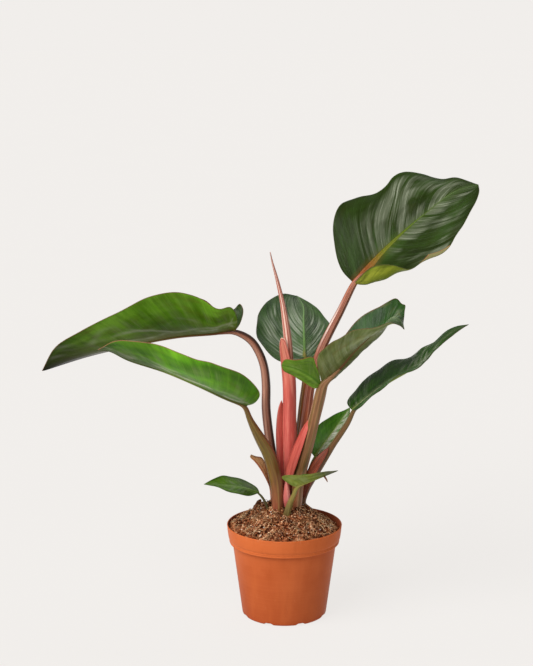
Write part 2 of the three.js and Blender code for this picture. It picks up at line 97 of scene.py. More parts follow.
# Each leaf has three rails. The rib runs from the top of the stalk to the tip. The margins leave the same
# base round the lobes and end at the same tip, and list only what lies between. left and right are as
# seen from above, looking from the base to the tip. A belly is how far the middle of a half leaves the
# straight line. A stalk's points have the width there as a fourth value.
LEAVES = {
    "arching_left": dict(
        form=LARGE,
        rib=[
            (-65, 8, 382), (-93, 14, 377), (-139, 22, 371), (-196, 27, 359), (-255, 26, 345),
            (-318, 18, 326),
        ],
        left=[
            (-61, -4, 397), (-65, -14, 413), (-71, -20, 419), (-85, -24, 417), (-104, -27, 429),
            (-121, -29, 436), (-141, -29, 440), (-173, -22, 432), (-214, -10, 410), (-265, 3, 382),
            (-299, 11, 359),
        ],
        right=[
            (-58, 18, 389), (-54, 32, 405), (-59, 40, 412), (-66, 48, 403), (-78, 57, 395), (-90, 68, 398),
            (-106, 80, 409), (-123, 86, 412), (-160, 88, 410), (-206, 78, 396), (-258, 58, 371),
            (-298, 36, 347),
        ],
        left_belly=[(0, -8, -5), (0, -8, -4)],
        right_belly=[(0, 5, -9), (0, 4, -8)],
        stalk=[
            (-10, 4, 128, 12), (-10, 5, 165, 13), (-14, 6, 200, 13), (-20, 7, 241, 12.5),
            (-24, 8, 278, 12), (-24, 8, 309, 11.6), (-27, 8, 335, 11), (-34, 8, 354, 10.6),
            (-45, 8, 370, 10), (-62.2, 8, 380.3, 7),
        ],
    ),
    "lower_left": dict(
        form=LARGE,
        rib=[
            (-50, -28, 291), (-73, -38, 302), (-109, -50, 322), (-152, -56, 342), (-199, -54, 357),
            (-222, -48, 367), (-238, -44, 368),
        ],
        left=[
            (-38, -40, 298), (-32, -54, 311), (-39, -74, 330), (-59, -88, 349), (-89, -96, 362),
            (-110, -98, 367), (-129, -98, 376), (-155, -94, 384), (-186, -84, 388), (-212, -70, 385),
        ],
        right=[
            (-41, -18, 294), (-38, -6, 303), (-48, 6, 313), (-74, 14, 323), (-111, 14, 333),
            (-149, 4, 348), (-187, -12, 359), (-218, -32, 366),
        ],
        left_belly=[(0, -6, -5), (0, -5, -4)],
        right_belly=[(0, 3, -6), (0, 3, -5)],
        stalk=[
            (-9, -15, 128, 14), (-10, -15, 174, 16.5), (-14, -17, 201, 17), (-21, -20, 225, 16.5),
            (-30, -23, 242, 14.5), (-39, -25, 259, 11), (-46, -27, 274, 7.5), (-49.2, -27.8, 287.6, 6),
        ],
    ),
    "top_right": dict(
        form=LARGE,
        rib=[
            (90, 32, 440), (111, 40, 462), (149, 58, 497), (189, 76, 528), (225, 86, 553),
            (257, 92, 562),
        ],
        left=[
            (75, 44, 455), (66, 60, 482), (65, 76, 514), (75, 92, 537), (96, 104, 542.5), (120, 113, 546.5),
            (136, 120, 558), (145, 125, 568), (160, 130, 573.6), (185, 128, 573), (212, 120, 566),
            (229, 112, 569),
        ],
        right=[
            (100, 22, 453), (111, 10, 465), (123, -2, 470), (139, -12, 471), (150, -17, 469),
            (160, -20, 468), (173, -20, 475), (187, -16, 481), (199, -11, 486.5), (212, -2, 496),
            (223, 14, 509), (232, 30, 520), (242, 48, 531), (252, 66, 545), (257, 80, 555),
        ],
        left_belly=[(0, -4, 3), (0, -4, 3)],
        right_belly=[
            (5.5, -2.5, -14.2), (8, -4, -18), (4, -4, -8), (3, -4, -6), (2, -5, -4), (1, -5, -3),
            (0, -4, -3), (0, -3, -2),
        ],
        stalk=[
            (18, 18, 128, 11), (19, 18, 177, 12.4), (23, 18, 225, 12.4), (30, 19, 273, 12),
            (35.2, 21, 310, 11.8), (44.4, 24, 343, 11.6), (53.2, 26, 364, 11.4), (73.4, 30, 404, 10),
            (88.9, 31.9, 437.5, 8),
        ],
    ),
    "back": dict(
        form=LARGE,
        rib=[(27, 40, 339), (27, 74, 353), (27, 120, 371), (27, 162, 385), (19, 190, 394)],
        left=[
            (16, 28, 336), (-3, 26, 336), (-23, 34, 348), (-35, 54, 362), (-37, 84, 378),
            (-30, 118, 391), (-15, 150, 399), (2, 174, 400),
        ],
        right=[
            (34, 38, 335), (46, 50, 336), (58, 80, 347), (64, 114, 358), (62, 146, 365), (51, 168, 376),
            (37, 182, 386),
        ],
        left_belly=[(0, 0, -4), (0, 0, -4)],
        right_belly=[(0, 0, -4), (0, 0, -4)],
        stalk=[
            (6, 26, 128, 10), (11, 29, 175, 10.4), (19, 31, 229, 10), (24, 32, 277, 9.4),
            (28, 34, 313, 8.6), (27.2, 39, 334.9, 7),
        ],
    ),
    "middle_right": dict(
        form=LARGE,
        rib=[
            (48, -14, 316), (67, -20, 335), (88, -26, 362), (111, -30, 385), (127, -34, 399),
            (137, -36, 409), (145, -38, 406), (151, -40, 393),
        ],
        left=[
            (59, 4, 322), (63, 16, 338), (69, 22, 354), (80, 26, 374), (92, 28, 389), (108, 30, 401),
            (124, 30, 410), (140, 27, 419), (146, 23, 421.5), (151.5, 16, 416), (155.5, 7, 416.5),
            (153.5, -8, 408), (151, -24, 399),
        ],
        right=[
            (45.5, -22, 327), (41.5, -33, 342), (40.5, -42, 353), (43, -51, 366), (53, -62, 377),
            (64, -72, 387), (79, -78, 398), (97, -80, 402), (115, -76, 405), (131, -66, 407),
            (143, -54, 402),
        ],
        left_belly=[(7, 0, -9), (12, 0, -14), (11, 0, -14), (1, 0, -2)],
        right_belly=[(0, -3, -2), (0, -5, -4)],
        stalk=[
            (14, -10, 128, 13.5), (17, -10, 172, 15.5), (21, -11, 200, 16.5), (27, -12, 224, 16.8),
            (33, -12, 246, 16), (38, -12, 267, 14.8), (43, -12, 288, 14.8), (46.5, -13, 304, 14.6),
            (47.6, -13.6, 312, 12),
        ],
    ),
    "far_right": dict(
        form=LARGE,
        rib=[
            (88, -6, 279), (106, -11, 296), (133, -17, 319), (158, -18, 334), (182, -15, 349),
            (196, -12, 366), (215, -9, 383), (237, -6, 393),
        ],
        left=[
            (82, 6, 284), (86, 22, 290), (103, 38, 305), (133, 42, 329), (161, 34, 340), (182, 22, 356),
            (193, 14, 365), (208, 12, 379), (224, 4, 389),
        ],
        right=[
            (92, -18, 282), (103, -34, 296), (127, -50, 322), (152, -52, 340), (172, -46, 346),
            (183, -36, 354), (188, -28, 361), (204, -26, 373), (222, -16, 386),
        ],
        left_belly=[(0, 0, 3), (0, 0, 2)],
        right_belly=[(0, 0, 2), (0, 0, 2)],
        stalk=[
            (18.5, 4, 128, 8), (27.5, 2, 168, 10.5), (40.2, -1, 193, 11.4), (53, -4, 215, 10),
            (64, -5, 233, 8), (75, -6, 250, 7.6), (84, -6, 265, 6.8), (87.7, -6, 277.8, 5.4),
        ],
    ),
    "small_lower_right": dict(
        form=SMALL,
        rib=[(40, 14, 210), (52, 18, 227), (68, 22, 248), (87, 26, 275)],
        left=[(35, 18, 216), (35, 28, 232), (46, 36, 248), (63, 38, 260), (78, 34, 268)],
        right=[(48, 12, 214), (61, 12, 226), (76, 14, 243), (85, 20, 260)],
        stalk=[(25.5, 15, 128, 5), (27.5, 14, 164, 5), (33.2, 14, 192, 4.6), (39.7, 14, 209.1, 4)],
    ),
    "small_front": dict(
        form=SMALL,
        rib=[(14, -38, 185), (27, -42, 191), (45, -44, 199), (69, -38, 207)],
        left=[(9, -32, 188), (4, -26, 194), (17, -23, 196), (35, -24, 198), (53, -30, 203)],
        right=[(7, -42, 189), (-5, -48, 202), (12, -56, 206), (34, -60, 209), (51, -54, 210)],
        stalk=[
            (0, -25, 128, 12), (2.5, -27.5, 143, 9.6), (6.5, -31, 160, 7.4), (12, -36, 173, 5.8),
            (13.7, -37.7, 183.3, 4.8),
        ],
    ),
    "small_left": dict(
        form=SMALL,
        rib=[(-33, -12, 169), (-50, -22, 178), (-71, -30, 184), (-105, -40, 189)],
        left=[(-44, -32, 171), (-57, -44, 176), (-72, -50, 182), (-90, -47, 188)],
        right=[(-36, -3, 173), (-47, 3, 179), (-61, 0, 185), (-79, -14, 193), (-93, -29, 193)],
        stalk=[
            (-19, -16, 132, 4), (-22, -14, 148, 3.6), (-26, -13, 158, 3.2), (-32.5, -12.1, 168.2, 2.8),
        ],
    ),
}

# Sheaths are made like leaves, and wrap is how far their halves curl back from the rib
SHEATHS = {
    "main_cataphyll": dict(
        rib=[
            (6, -2.3, 156), (5, -8, 185), (6, -9, 226), (6, -8, 266), (5, -6, 313), (0, -2, 345),
            (-5, 1, 374),
        ],
        left=[(0, -5, 172), (-1, -3, 200), (-2, 2, 257), (-2, 4, 304), (-5, 5, 341), (-7, 4, 364)],
        right=[
            (9, -6, 172), (11, -4, 200), (16, 3, 236), (15, 6, 269), (15, 7, 300), (13, 0, 328),
            (7, -2, 348), (3, -1.5, 364), (0, -0.5, 373),
        ],
        wrap=3,
    ),
    "left_cataphyll": dict(
        rib=[(-2, -7, 146), (-4, -5, 172), (-7, -4, 205), (-9, -2, 245), (-8, 1, 275), (-4, 4, 290)],
        left=[(-6, -3, 172), (-8.5, 0.5, 200), (-11, 5, 236), (-10, 8, 265), (-7, 7, 282)],
        right=[(5, -5, 168), (3, 2, 205), (2, 5, 238), (1, 6, 264), (-1, 5, 280)],
        wrap=1,
    ),
    "right_cataphyll": dict(
        rib=[(4, -14, 176), (8, -17.5, 204), (15.5, -18, 230), (22.5, -16, 250), (31, -11, 268)],
        left=[(1, -12, 200), (7, -11, 220), (15, -9, 239), (24, -8, 257)],
        right=[(12, -21, 198), (19, -22, 220), (25.5, -21, 241), (31, -16, 260)],
        wrap=1,
    ),
    "dry_cataphyll": dict(
        rib=[(-17.4, 4, 150), (-20.5, 1, 178), (-30, 0, 203.5), (-44, 2, 217)],
        left=[(-19, -2, 170), (-26, -4, 188), (-33.5, -4, 201), (-40.5, -3, 210), (-46, -1, 214.5)],
        right=[(-19, 8, 176), (-24, 10, 199), (-30, 10, 211), (-37, 7, 213)],
        wrap=1,
    ),
}

# The far right stalk's sheath opens along its left side
WING = dict(
    rib=[(26, -7, 160), (33, -9, 186), (40, -10.5, 200), (48, -11, 214), (58, -9, 231)],
    left=[(21, -4, 172), (26, -5, 190), (31, -7, 200), (38.5, -8, 213), (48, -8.5, 223)],
    right=[(31, -9, 172), (38, -11, 188), (45, -12, 202), (52, -11.5, 215), (57, -10, 225)],
    wrap=1,
)

# The basal lobe of the middle right leaf, which a cleft parts from the rest of its front half
LOBE = dict(
    rib=[(47, -15, 315), (31, -31, 332), (13, -40, 343), (-5, -41, 347)],
    left=[
        (44.5, -24, 330), (39, -35, 347), (36, -45, 358), (30, -47.5, 360), (22, -47.5, 357),
        (12, -46, 355), (-1, -43, 355.5),
    ],
    right=[(39, -20, 311), (29, -25, 317), (18, -30, 326), (4, -36, 335), (-3, -39, 340)],
)

# The spear, the crown and a new shoot that shows between the front stalks, with their widths
SPEAR = [
    (7, 6, 186.5, 9), (8, 7, 235, 11), (7, 7, 289, 11), (6, 7, 343, 11), (4, 7, 370, 10.6),
    (1, 7, 394, 9.2), (-3, 7, 419, 6.6), (-7, 7, 437, 5.2), (-12, 7, 457, 3.6), (-16, 7, 471, 2.4),
    (-19, 7, 485, 1.2),
]
BUD = [
    (3, -13, 146, 6), (3, -16.5, 156, 9), (3, -18, 166, 10), (2.6, -17.5, 175, 8), (2.2, -15.5, 183, 4),
    (2, -14, 188, 1.5),
]
CROWN = [(6, 6, 112, 17), (6, 6, 140, 17), (7, 6, 165, 14), (7, 6, 186, 9)]

# Two woody scraps that stand out of the coir, and the dry hook that hangs from the small front leaf
SCRAPS = {
    "left_scrap": ("soil", [(-38, -2, 143, 7), (-37, 0, 147, 9), (-34, 2, 151, 7), (-31, 4, 154.5, 2)]),
    "right_scrap": ("soil", [(21, 2, 138, 5), (24, 3, 146, 5), (26, 4, 149.5, 3), (28, 4, 151.5, 1.2)]),
    "dry_hook": ("dry_sheath", [
        (50, -42.5, 201.6, 2.2), (53, -43, 199.6, 2.6), (54.6, -43.4, 196.5, 2.2), (54.8, -43.6, 193, 0.8),
    ]),
}

# The pot and its soil, with the same sizes as the solids
POT = dict(
    height=123, rim_radius=76, band_foot=72.8, band_height=24, body_top=68.7, heel_radius=56.1,
    heel_height=4, foot_radius=53.5, wall=1.6, floor=4, disc_radius=30, groove_radius=46,
    groove_depth=1.8, notches=8, notch_width=11, notch_height=3,
)
SOIL = dict(edge=119.5, plateau=149, plateau_radius=22, fall=1.2, back_dip=6, lump=1.6, gap=0.3)
# Heaps on the coir: x, y, height and reach
HEAPS = [(-34, 1, 7, 9), (25, 4, 4, 10)]
SCATTER_REACH = 66  # how far from the middle crumbs lie
FIBRE_REACH = 71.0  # no fibre goes further out
FIBRE_STEP = 1.6

# The camera in metres and degrees, as worked out from the rim's ellipse
CAMERA = dict(place=(-0.02370, -2.10198, 0.81953), dip=11.8, lens=89.8, sensor=36)
# Soft distant lights: azimuth from the front towards the right, elevation, strength, spread and tint
SUNS = {
    "key": (-46, 43, 3.5, 50, (1.0, 0.99, 0.975)),
    "rim": (165, 50, 0.3, 50, (0.98, 0.99, 1.0)),
}
# A pale floor that glows a little, so that shadows on it stay faint
FLOOR = dict(dark="525150", light="535251", shine="f3f0ed", glow=0.883, reach=400.0)
BACKDROP = dict(shine="f1eeeb", radius=20.0, foot=-1.0, height=16.0, panels=96)
SKY = dict(shine="f3f1ef", strength=0.27)


# Curves

class Curve:
    """A smooth curve through points. Values after the third, such as a width, go along with the points."""

    def __init__(self, points, steps=60, soften=0.0):
        points = np.array(points, float)
        ends = 2 * points[[0, -1]] - points[[1, -2]]
        padded = np.vstack([ends[:1], points, ends[1:]])
        places = np.linspace(0, 1, steps, endpoint=False)
        pieces = [self.span(padded[n : n + 4], places) for n in range(len(points) - 1)]
        self.measure(np.vstack([*pieces, points[-1:]]))
        if soften:
            self.soften(soften)

    def measure(self, samples):
        """Keeps the samples, and how far along the curve each one lies."""
        lengths = np.linalg.norm(np.diff(samples[:, :3], axis=0), axis=1)
        self.samples = samples
        self.reach = np.concatenate([[0], np.cumsum(lengths)])
        self.length = self.reach[-1]

    @staticmethod
    def span(four, t):
        """The stretch between the middle two of four points, as a centripetal Catmull-Rom curve."""
        before, start, end, after = four
        gaps = np.linalg.norm(np.diff(four[:, :3], axis=0), axis=1) ** 0.5
        middle = gaps[1] if gaps[1] > 1e-4 else 1.0
        first = gaps[0] if gaps[0] > 1e-4 else middle
        last = gaps[2] if gaps[2] > 1e-4 else middle
        out = (start - before) / first - (end - before) / (first + middle) + (end - start) / middle
        into = (end - start) / middle - (after - start) / (middle + last) + (after - end) / last
        out, into = out * middle, into * middle
        t = t[:, None]
        rise = -3 * start + 3 * end - 2 * out - into
        turn = 2 * start - 2 * end + out + into
        return start + out * t + rise * t**2 + turn * t**3

    def soften(self, distance, count=500):
        """Evens out the bends over that distance and keeps the ends."""
        even = self.at(np.linspace(0, 1, count))
        reach = min(max(1, int(3 * distance / self.length * count)), count - 1)
        head = 2 * even[0] - even[reach:0:-1]
        tail = 2 * even[-1] - even[-2 : -reach - 2 : -1]
        longer = np.vstack([head, even, tail])
        steps = np.arange(-reach, reach + 1) * self.length / count
        weights = np.exp(-0.5 * (steps / distance) ** 2)
        weights /= weights.sum()
        self.measure(np.column_stack([np.convolve(c, weights, "valid") for c in longer.T]))

    def at(self, share):
        """The points at shares of the length."""
        where = np.asarray(share) * self.length
        return np.column_stack([np.interp(where, self.reach, c) for c in self.samples.T])

    def at_turn(self, share):
        """The points at shares of the way through the list of points, however far apart they are."""
        where = np.asarray(share) * (len(self.samples) - 1)
        numbers = np.arange(len(self.samples))
        return np.column_stack([np.interp(where, numbers, c) for c in self.samples.T])


def unit(vectors):
    return vectors / np.maximum(np.linalg.norm(vectors, axis=-1, keepdims=True), 1e-12)


def smooth_step(x, low, high):
    t = np.clip((x - low) / (high - low), 0, 1)
    return t * t * (3 - 2 * t)


def noise_at(points):
    """Smooth noise between about -1 and 1 at points, whose last axis holds their coordinates."""
    values = [noise.noise(Vector(p)) for p in points.reshape(-1, 3)]
    return np.array(values).reshape(points.shape[:-1])


# Meshes

def place_object(name, data):
    made = bpy.data.objects.new(name, data)
    bpy.context.scene.collection.objects.link(made)
    return made


def piece(name, points, faces, nodes=(), slot=None, materials=(), face_materials=None, values=None):
    """A mesh object from points in millimetres. It stands for the CAD nodes and rides on the one body."""
    mesh = bpy.data.meshes.new(name)
    mesh.from_pydata((np.asarray(points) * MM).tolist(), [], faces)
    for key, value in (values or {}).items():
        value = np.asarray(value, np.float32)
        kind, field = ("FLOAT", "value") if value.ndim == 1 else ("FLOAT_VECTOR", "vector")
        mesh.attributes.new(key, kind, "POINT").data.foreach_set(field, value.ravel())
    for material in materials:
        mesh.materials.append(material)
    if face_materials is not None:
        mesh.polygons.foreach_set("material_index", face_materials)
    mesh.polygons.foreach_set("use_smooth", [True] * len(mesh.polygons))
    mesh.validate()
    made = place_object(name, mesh)
    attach(made, BODY)
    if nodes:
        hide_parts(*nodes)
    return made


def ring_faces(start, rings, sides, flip=False):
    """Quads between rings of points that are numbered one after the other."""
    faces = []
    for ring in range(rings - 1):
        for n in range(sides):
            low, after = start + ring * sides + n, start + ring * sides + (n + 1) % sides
            quad = [low, after, after + sides, low + sides]
            faces.append([low, *quad[:0:-1]] if flip else quad)
    return faces


def fan_faces(middle, start, sides, flip=False):
    """Triangles between a point and a ring."""
    edges = [(start + n, start + (n + 1) % sides) for n in range(sides)]
    return [[middle, b, a] if flip else [middle, a, b] for a, b in edges]


def grid_normals(grid):
    """Normals of a grid of points whose first index runs along and whose second runs from left to right."""
    normals = unit(np.cross(np.gradient(grid, axis=1), np.gradient(grid, axis=0)))
    middle = grid.shape[1] // 2
    normals[0], normals[-1] = normals[1, middle], normals[-2, middle]
    return normals


def sheet_faces(stations, columns):
    """Faces of a sheet with one point at its base, one at its tip and stations - 1 rows between."""

    def number(station, column):
        if station == 0:
            return 0
        if station == stations:
            return 1
        return 2 + (station - 1) * columns + column

    faces = []
    for i in range(stations):
        for j in range(columns - 1):
            ring = [number(i, j), number(i, j + 1), number(i + 1, j + 1), number(i + 1, j)]
            faces.append(list(dict.fromkeys(ring)))
    return faces


def closed_sheet(upper, lower):
    """Points and faces of two grids of points that meet along their side columns and at their ends.

    Also gives which faces are the lower side's, and a function that lays out a value of each skin the same
    way.
    """
    stations, columns = upper.shape[0] - 1, upper.shape[1]
    faces = sheet_faces(stations, columns)
    count = 2 + (stations - 1) * columns
    shared = {0, 1}
    for start in range(2, count, columns):
        shared |= {start, start + columns - 1}
    keep = [n for n in range(count) if n not in shared]
    below = {n: n for n in shared}
    below.update({n: count + k for k, n in enumerate(keep)})
    under = [[below[n] for n in reversed(face)] for face in faces]

    def flat(grid):
        rows = grid[1:-1].reshape((-1,) + grid.shape[2:])
        return np.concatenate([grid[0, :1], grid[-1, :1], rows])

    def spread(above, below):
        return np.concatenate([flat(above), flat(below)[keep]])

    return spread(upper, lower), faces + under, [0] * len(faces) + [1] * len(under), spread


# Materials

# Noise on a blade, over the vein's number, the place across and the leaf: stretch, detail, roughness, offset
LEAF_NOISE = dict(
    broad=((0.16, 1.3, 1.0), 2.0),
    streaks=((1.1, 0.45, 1.0), 4.0, 0.6),
    threads=((5.0, 0.8, 1.0), 4.0, 0.65),
    speckle=((14.0, 60.0, 1.0), 4.0, 0.7),
    blotches=((0.3, 2.4, 1.0), 3.0, 0.55, (5.0, 3.0, 0.0)),
    feather=((1.3, 0.45, 1.0), 3.0, 0.5, (3.0, 9.0, 0.0)),
    clouds=((0.24, 1.1, 1.0), 2.0, 0.55, (9.0, 4.0, 0.0)),
)
# What tints a blade in turn: the noise, its values for none and for all of it, the share and the colour
LEAF_TINTS = [
    ("streaks", 0.5, 0.72, 0.5, "bright"), ("streaks", 0.5, 0.3, 0.6, "deep"),
    ("threads", 0.54, 0.72, 0.3, "bright"), ("threads", 0.46, 0.3, 0.3, "deep"),
    ("blotches", 0.52, 0.72, 0.7, "blush"), ("speckle", 0.4, 0.75, 0.25, "deep"),
]
# The same for stalks and sheaths, over millimetres
STALK_NOISE = dict(
    streaks=((0.55, 0.55, 0.018), 4.0, 0.6),
    fine=((2.4, 2.4, 0.04), 4.0, 0.65),
    patches=((0.14, 0.14, 0.03), 2.0),
)
# The same for the pot, over metres, with its height as one more value
POT_NOISE = dict(
    flow=((60.0, 60.0, 9.0), 4.0, 0.6),
    turned=((4.0, 4.0, 700.0), 2.0),
    scuffs=((260.0, 260.0, 34.0), 6.0, 0.75),
)
# Height tints: painted shade lower down, painted light on the rim band above 97.5 mm, and a darker foot.
POT_TINTS = [
    ("height", 0.09, 0.0, 0.5, "8a3614"), ("height", 0.0975, 0.1, 0.4, "d26c36"),
    ("flow", 0.52, 0.75, 0.25, "cb6c38"), ("flow", 0.48, 0.25, 0.25, "9a4218"),
    ("turned", 0.5, 0.8, 0.12, "d2763f"), ("scuffs", 0.63, 0.72, 0.3, "d68a5c"),
    ("height", 0.008, 0.0, 0.45, "a03c18"),
]


def colour(code):
    """A shader colour from a hex code of display colours."""
    channels = [int(code[n : n + 2], 16) / 255 for n in (0, 2, 4)]
    linear = [c / 12.92 if c <= 0.04045 else ((c + 0.055) / 1.055) ** 2.4 for c in channels]
    return (*linear, 1.0)


class Shader:
    """A material and its nodes. Values that are the same everywhere go straight to the shader's sockets."""

    def __init__(self, name, **sockets):
        self.material = bpy.data.materials.new(name)
        self.material.use_nodes = True
        self.tree = self.material.node_tree
        self.skin = self.tree.nodes["Principled BSDF"]
        for key, value in sockets.items():
            self.skin.inputs[key.replace("_", " ")].default_value = value

    def put(self, socket, value):
        if isinstance(value, bpy.types.NodeSocket):
            self.tree.links.new(value, socket)
        else:
            socket.default_value = value

    def add(self, kind, inputs, **settings):
        made = self.tree.nodes.new("ShaderNode" + kind)
        for key, value in settings.items():
            setattr(made, key, value)
        for key, value in inputs.items():
            self.put(made.inputs[key], value)
        return made

    def value(self, name):
        return self.add("Attribute", {}, attribute_name=name).outputs["Fac"]

    def vector(self, name):
        return self.add("Attribute", {}, attribute_name=name).outputs["Vector"]

    def position(self):
        return self.add("NewGeometry", {}).outputs["Position"]

    def part(self, vector, axis):
        return self.add("SeparateXYZ", {"Vector": vector}).outputs[axis]

    def maths(self, operation, a, b=0.0, clamp=False):
        return self.add("Math", {0: a, 1: b}, operation=operation, use_clamp=clamp).outputs[0]

    def times(self, a, b):
        return self.maths("MULTIPLY", a, b)

    def plus(self, a, b, clamp=False):
        return self.maths("ADD", a, b, clamp)

    def apart(self, a, b):
        return self.maths("ABSOLUTE", self.maths("SUBTRACT", a, b))

    def remap(self, value, low, high, to_low=0.0, to_high=1.0):
        inputs = {"Value": value, "From Min": low, "From Max": high, "To Min": to_low, "To Max": to_high}
        return self.add("MapRange", inputs, clamp=True).outputs[0]

    def mix(self, share, a, b, blend="MIX"):
        made = self.add("Mix", {}, data_type="RGBA", blend_type=blend)
        self.put(made.inputs["Factor"], share)
        self.put(made.inputs["A"], colour(a) if isinstance(a, str) else a)
        self.put(made.inputs["B"], colour(b) if isinstance(b, str) else b)
        return [socket for socket in made.outputs if socket.type == "RGBA"][0]

    def tint(self, base, code, value, low, high, share):
        """Brings a share of a colour in as the value goes from low to high."""
        return self.mix(self.remap(value, low, high, 0.0, share), base, code)

    def fade(self, base, code, value, low, high, share=1.0):
        """Takes a share of a colour out as the value goes from low to high."""
        return self.mix(self.remap(value, low, high, share, 0.0), base, code)

    def ramp(self, value, stops):
        made = self.add("ValToRGB", {"Fac": value})
        elements = made.color_ramp.elements
        while len(elements) < len(stops):
            elements.new(0.5)
        for element, (place, code) in zip(elements, stops.items()):
            element.position = place
            element.color = colour(code)
        return made.outputs["Color"]

    def noise(self, vector, scale, detail=3.0, roughness=0.55):
        inputs = {"Vector": vector, "Scale": scale, "Detail": detail, "Roughness": roughness}
        return self.add("TexNoise", inputs).outputs["Fac"]

    def texture(self, vector, stretch, detail=3.0, roughness=0.55, offset=(0.0, 0.0, 0.0)):
        """Noise that is stretched along the axes."""
        place = self.add("Mapping", {"Vector": vector, "Scale": stretch, "Location": offset})
        return self.noise(place.outputs["Vector"], 1.0, detail, roughness)

    def textures(self, vector, rows):
        return {key: self.texture(vector, *row) for key, row in rows.items()}

    def bump(self, height, distance, strength=1.0):
        made = self.add("Bump", {"Height": height, "Distance": distance, "Strength": strength})
        self.put(self.skin.inputs["Normal"], made.outputs["Normal"])

    def finish(self, base, roughness):
        self.put(self.skin.inputs["Base Color"], base)
        self.put(self.skin.inputs["Roughness"], roughness)
        return self.material


class LeafShader(Shader):
    """One side of a blade, from the attributes of its mesh.

    leaf holds the side vein's number, 2.2 times the place across, which is below 0 on the left, and the
    leaf's seed. along runs from base to tip. rib_over is how far a point lies outside the coloured midrib,
    and edge_gap how far inside the margin, in millimetres.
    """

    def __init__(self, name, look):
        super().__init__(name, IOR=1.5, Specular_IOR_Level=look["gloss"])
        self.look = look
        self.leaf = self.vector("leaf")
        self.across = self.part(self.leaf, "Y")
        self.right = self.remap(self.across, -0.02, 0.02)
        self.along = self.value("along")
        self.rib_over = self.value("rib_over")
        self.edge_gap = self.value("edge_gap")
        self.grain = self.textures(self.leaf, LEAF_NOISE)
        vein = self.value("vein")
        self.near_vein = self.maths("PINGPONG", vein, 0.5)
        self.fine_veins = self.maths("PINGPONG", self.times(vein, 5.0), 0.5)

    def greens(self, deep, middle, bright):
        base = self.ramp(self.grain["broad"], {0.3: deep, 0.5: middle, 0.72: bright})
        codes = dict(deep=deep, bright=bright, blush=self.look["blush"])
        for key, low, high, share, name in LEAF_TINTS:
            base = self.tint(base, codes[name], self.grain[key], low, high, share)
        return base

    def painted_sheen(self, base):
        """Painted sheen in whitish feathery patches away from the margin, with painted highlight lines in
        it.
        """
        look = self.look
        feather_from, clouds_from = look["sheen_from"]
        feathery = self.remap(self.grain["feather"], feather_from, feather_from + 0.18)
        cloudy = self.remap(self.grain["clouds"], clouds_from, clouds_from + 0.18)
        near_base, near_tip, calm_right = look["calm_edge"]
        calm_left = self.remap(self.along, 0.3, 0.6, near_base, near_tip)
        calm = self.remap(self.across, -0.02, 0.02, calm_left, calm_right)
        inside = self.remap(self.edge_gap, self.times(calm, 0.35), calm, 0.0, look["painted_sheen"])
        halves = [self.ramp(self.along, look[key]) for key in ("sheen_left", "sheen_right")]
        painted_sheen = self.times(self.times(self.times(feathery, cloudy), inside), self.mix(self.right, *halves))
        base = self.mix(painted_sheen, base, look["sheen"])
        # Finer pale lines in the sheen: painted highlights.
        lines = self.times(painted_sheen, self.remap(self.grain["threads"], 0.5, 0.66, 0.0, look["gleam"]))
        return self.mix(lines, base, look["glint"])

    def folds(self, base):
        """Painted highlights of folds: pale wandering lines beside the rib on the left half."""
        for shift, out, share in self.look["folds"]:
            wander = self.texture(self.leaf, (0.2, 0.0, 1.0), 0.0, offset=(shift, 0.0, 0.0))
            seen = self.texture(self.leaf, (0.3, 0.8, 1.0), 2.0, offset=(shift, 5.0, 0.0))
            line = self.remap(wander, 0.3, 0.7, 0.4 * out, 1.6 * out)
            light = self.remap(self.apart(self.rib_over, line), 0.4, 4.0, share, 0.0)
            light = self.times(light, self.remap(seen, 0.42, 0.6))
            left = self.remap(self.across, 0.0, -0.05)
            base = self.mix(self.times(light, left), base, self.look["glint"])
        return base

    def veins(self, base):
        """The side veins, which fade towards the margin, and four fine ones between each two."""
        vein, share = self.look["vein"], self.look["veins"]
        line = self.remap(self.near_vein, 0.012, 0.05, 1.0, 0.0)
        fade = self.remap(self.edge_gap, 1.0, 16.0, 0.0, share)
        base = self.mix(self.times(line, fade), base, vein)
        return self.fade(base, vein, self.fine_veins, 0.05, 0.2, share * 0.3)

    def midrib(self, base, deep):
        """The coloured midrib with a glow round it and a dark line on either side."""
        rib = self.ramp(self.along, self.look["rib"])
        base = self.fade(base, rib, self.rib_over, 0.0, 7.0, self.look["glow"])
        base = self.fade(base, rib, self.rib_over, -0.3, 0.35)
        return self.fade(base, deep, self.maths("ABSOLUTE", self.rib_over), 0.1, 0.6, 0.45)

    def curl(self, base):
        """A stretch of the right margin that curls up and shows its other side, with a bright rim."""
        middle, half_length, reach, inner, line = self.look["curl"]
        off = self.apart(self.along, middle)
        width = self.times(self.remap(off, half_length, 0.0, 0.0, reach), self.right)
        beyond = self.maths("SUBTRACT", width, self.edge_gap)
        base = self.tint(base, inner, beyond, 0.0, 0.6, 1.0)
        rim = self.remap(self.maths("ABSOLUTE", beyond), 0.5, 1.0, 0.9, 0.0)
        return self.mix(self.times(rim, self.remap(width, 0.4, 1.0)), base, line)

    def relief(self):
        height = self.plus(self.times(self.grain["streaks"], 1.2), self.grain["threads"])
        height = self.plus(height, self.remap(self.fine_veins, 0.0, 0.3, 0.0, 0.12))
        height = self.plus(height, self.remap(self.near_vein, 0.0, 0.06, 0.0, 0.25))
        self.bump(self.plus(height, self.times(self.grain["speckle"], 0.12)), 0.0005, self.look["relief"])


